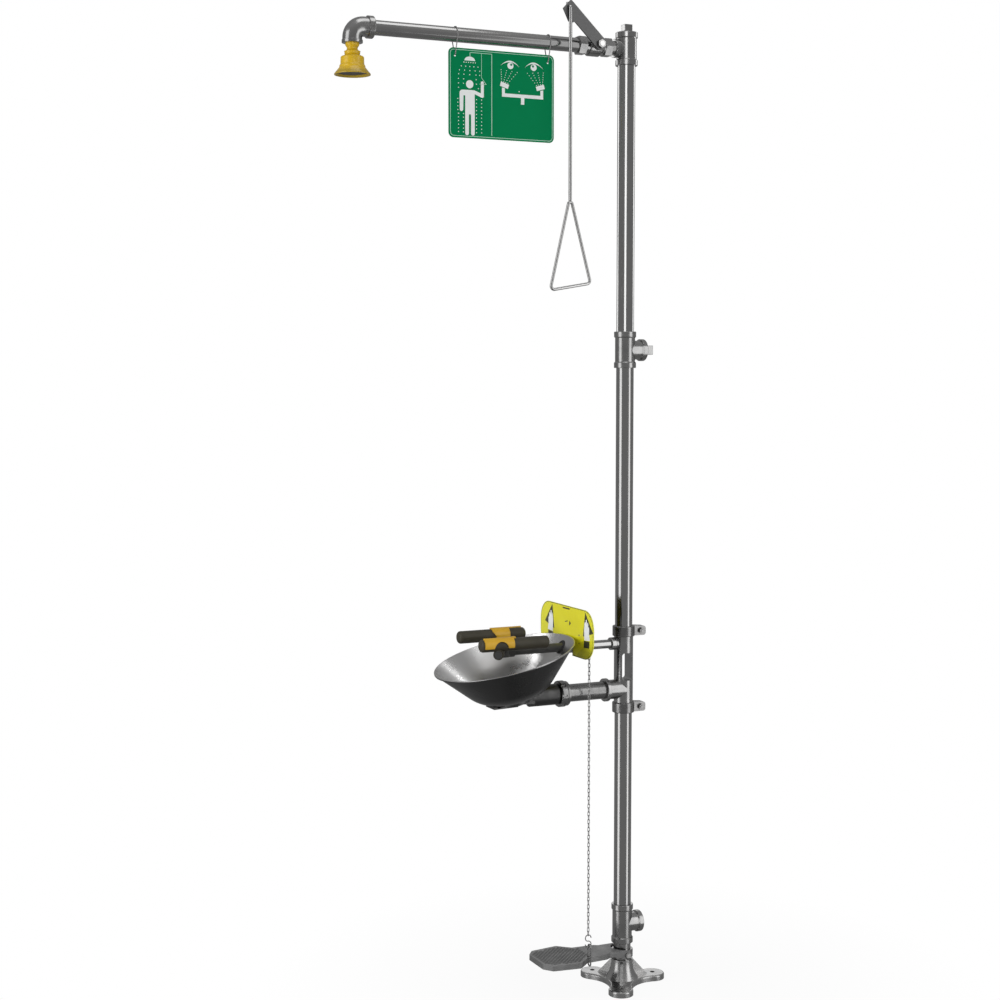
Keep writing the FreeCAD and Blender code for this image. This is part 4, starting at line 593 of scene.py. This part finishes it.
def build_world():
    """White backdrop for the camera; a grey room, lighter above, for reflections and bounce."""
    world = bpy.data.worlds.new("studio")
    bpy.context.scene.world = world
    world.use_nodes = True
    tree = world.node_tree
    tree.nodes.clear()

    def add(kind, **inputs):
        item = tree.nodes.new(kind)
        for key, value in inputs.items():
            if isinstance(value, bpy.types.NodeSocket):
                tree.links.new(value, item.inputs[key])
            else:
                item.inputs[key].default_value = value
        return item

    direction = add("ShaderNodeTexCoord").outputs["Generated"]
    height = add("ShaderNodeSeparateXYZ", Vector=direction).outputs["Z"]
    ramp = add("ShaderNodeValToRGB", Fac=add("ShaderNodeMapRange", Value=height, **{
        "From Min": -1.0, "From Max": 1.0}).outputs["Result"])
    stops = ramp.color_ramp.elements
    stops[0].position, stops[0].color = 0.0, grey(0.20)
    stops[1].position, stops[1].color = 1.0, grey(0.40)
    for position in (0.42, 0.56):
        stops.new(position).color = grey(0.26)
    room = add("ShaderNodeBackground", Color=ramp.outputs["Color"], Strength=1.0)
    white = add("ShaderNodeBackground", Color=grey(1.0), Strength=1.0)
    path = add("ShaderNodeLightPath")
    mix = tree.nodes.new("ShaderNodeMixShader")
    tree.links.new(path.outputs["Is Camera Ray"], mix.inputs[0])
    tree.links.new(room.outputs["Background"], mix.inputs[1])
    tree.links.new(white.outputs["Background"], mix.inputs[2])
    output = tree.nodes.new("ShaderNodeOutputWorld")
    tree.links.new(mix.outputs["Shader"], output.inputs["Surface"])


def build_floor():
    """Pale floor that fades into the white backdrop away from the stand."""
    s = Shader("floor_finish")
    flat = s.add("ShaderNodeVectorMath", {"operation": "MULTIPLY"}, n0=s.where, n1=(1, 1, 0)).outputs[0]
    away = s.add("ShaderNodeVectorMath", {"operation": "LENGTH"}, n0=flat).outputs["Value"]
    fade = s.ramp(away, 0, 1, 0.25, 0.9)
    pale = s.add("ShaderNodeBsdfDiffuse", Color=s.tint(s.noise(9, 3), grey(0.88), grey(0.92)))
    glow = s.add("ShaderNodeEmission", Color=grey(1.0), Strength=1.0)
    lifted = s.add("ShaderNodeMixShader", n0=0.93, n1=pale.outputs[0], n2=glow.outputs[0])
    mixed = s.add("ShaderNodeMixShader", n0=fade, n1=lifted.outputs[0], n2=glow.outputs[0])
    dull = s.add("ShaderNodeBsdfDiffuse", Color=grey(0.75))
    seen = s.add("ShaderNodeLightPath").outputs["Is Camera Ray"]
    final = s.add("ShaderNodeMixShader", n0=seen, n1=dull.outputs[0], n2=mixed.outputs[0])
    s.tree.links.new(final.outputs[0], s.output.inputs["Surface"])
    mesh = bmesh.new()
    bmesh.ops.create_grid(mesh, x_segments=2, y_segments=2, size=30)
    data = bpy.data.meshes.new("floor")
    mesh.to_mesh(data)
    mesh.free()
    data.materials.append(s.material)
    floor = bpy.data.objects.new("floor", data)
    floor.location.z = -0.5 * MM
    floor.visible_glossy = False
    bpy.context.scene.collection.objects.link(floor)


def build_camera():
    """Camera at about eye height, beside the stand and a little in front of it."""
    data = bpy.data.cameras.new("camera")
    data.lens = 63.25
    data.sensor_width = 36
    item = bpy.data.objects.new("camera", data)
    item.location = CAMERA_PLACE
    bpy.context.scene.collection.objects.link(item)
    aim(item, item.location + CAMERA_DIRECTION)
    bpy.context.scene.camera = item


def only_for(light, names):
    """Let a light shine on some nodes and pieces only."""
    group = bpy.data.collections.new(f"{light.name}_receivers")
    for name in names:
        group.objects.link(nodes[name] if name in nodes else bpy.data.objects[name])
    light.light_linking.receiver_collection = group


def build_lights():
    """Tall strips that draw the pale lines on the pipes, spots for the bowl and base, and soft fills."""
    middle, tall = (0, 0, 1.25), (1.6, 4.6)
    low_nodes = [name for name in nodes if name not in UPPER_NODES + ARM_NODES]
    only_for(softbox("strip_left", -60, 3.0, 1.4, middle, tall, 34), low_nodes)
    only_for(softbox("strip_right", 60, 3.0, 1.4, middle, tall, 34), low_nodes)
    only_for(softbox("arm_left", -60, 3.0, 1.4, middle, tall, 12), ARM_NODES)
    only_for(softbox("arm_right", 60, 3.0, 1.4, middle, tall, 12), ARM_NODES)
    for name, azimuth, wide in (("upper_middle", -6, 1.2), ("upper_left", -124, 1.0),
                                ("upper_right", 122, 1.0)):
        only_for(softbox(name, azimuth, 3.0, 1.6, middle, (wide, 4.6), 30 * wide), UPPER_NODES)
    only_for(softbox("behind", 180, 3.0, 1.3, (0, 0, 0.05), (2.4, 1.2), 8), BASE_NODES)
    only_for(softbox("bowl_left", 137, 2.5, 2.9, BOWL_MIDDLE, (0.5, 0.4), 5), ["bowl"])
    only_for(softbox("bowl_right", -87, 2.5, 2.5, BOWL_MIDDLE, (0.5, 0.6), 6), ["bowl"])
    only_for(softbox("paddle_fill", -65, 3.0, 1.2, (0, -0.15, 0.88), (1.4, 1.4), 22, glossy=False),
             PADDLE_PIECES)
    softbox("front_fill", 12, 4.6, 2.6, (0, -0.3, 1.2), (2.4, 2.4), 82, glossy=False)
    softbox("side_fill", -65, 4.0, 1.6, (0, -0.3, 1.0), (2.0, 2.0), 50, glossy=False)
    softbox("overhead", 0, 0.6, 4.2, (0, -0.3, 0.8), (1.4, 1.4), 9)


finish_nodes()
build_sign()
build_paddle()
build_tread()
build_world()
build_floor()
build_camera()
build_lights()

scene = bpy.context.scene
scene.view_settings.view_transform = "Standard"
scene.view_settings.look = "None"
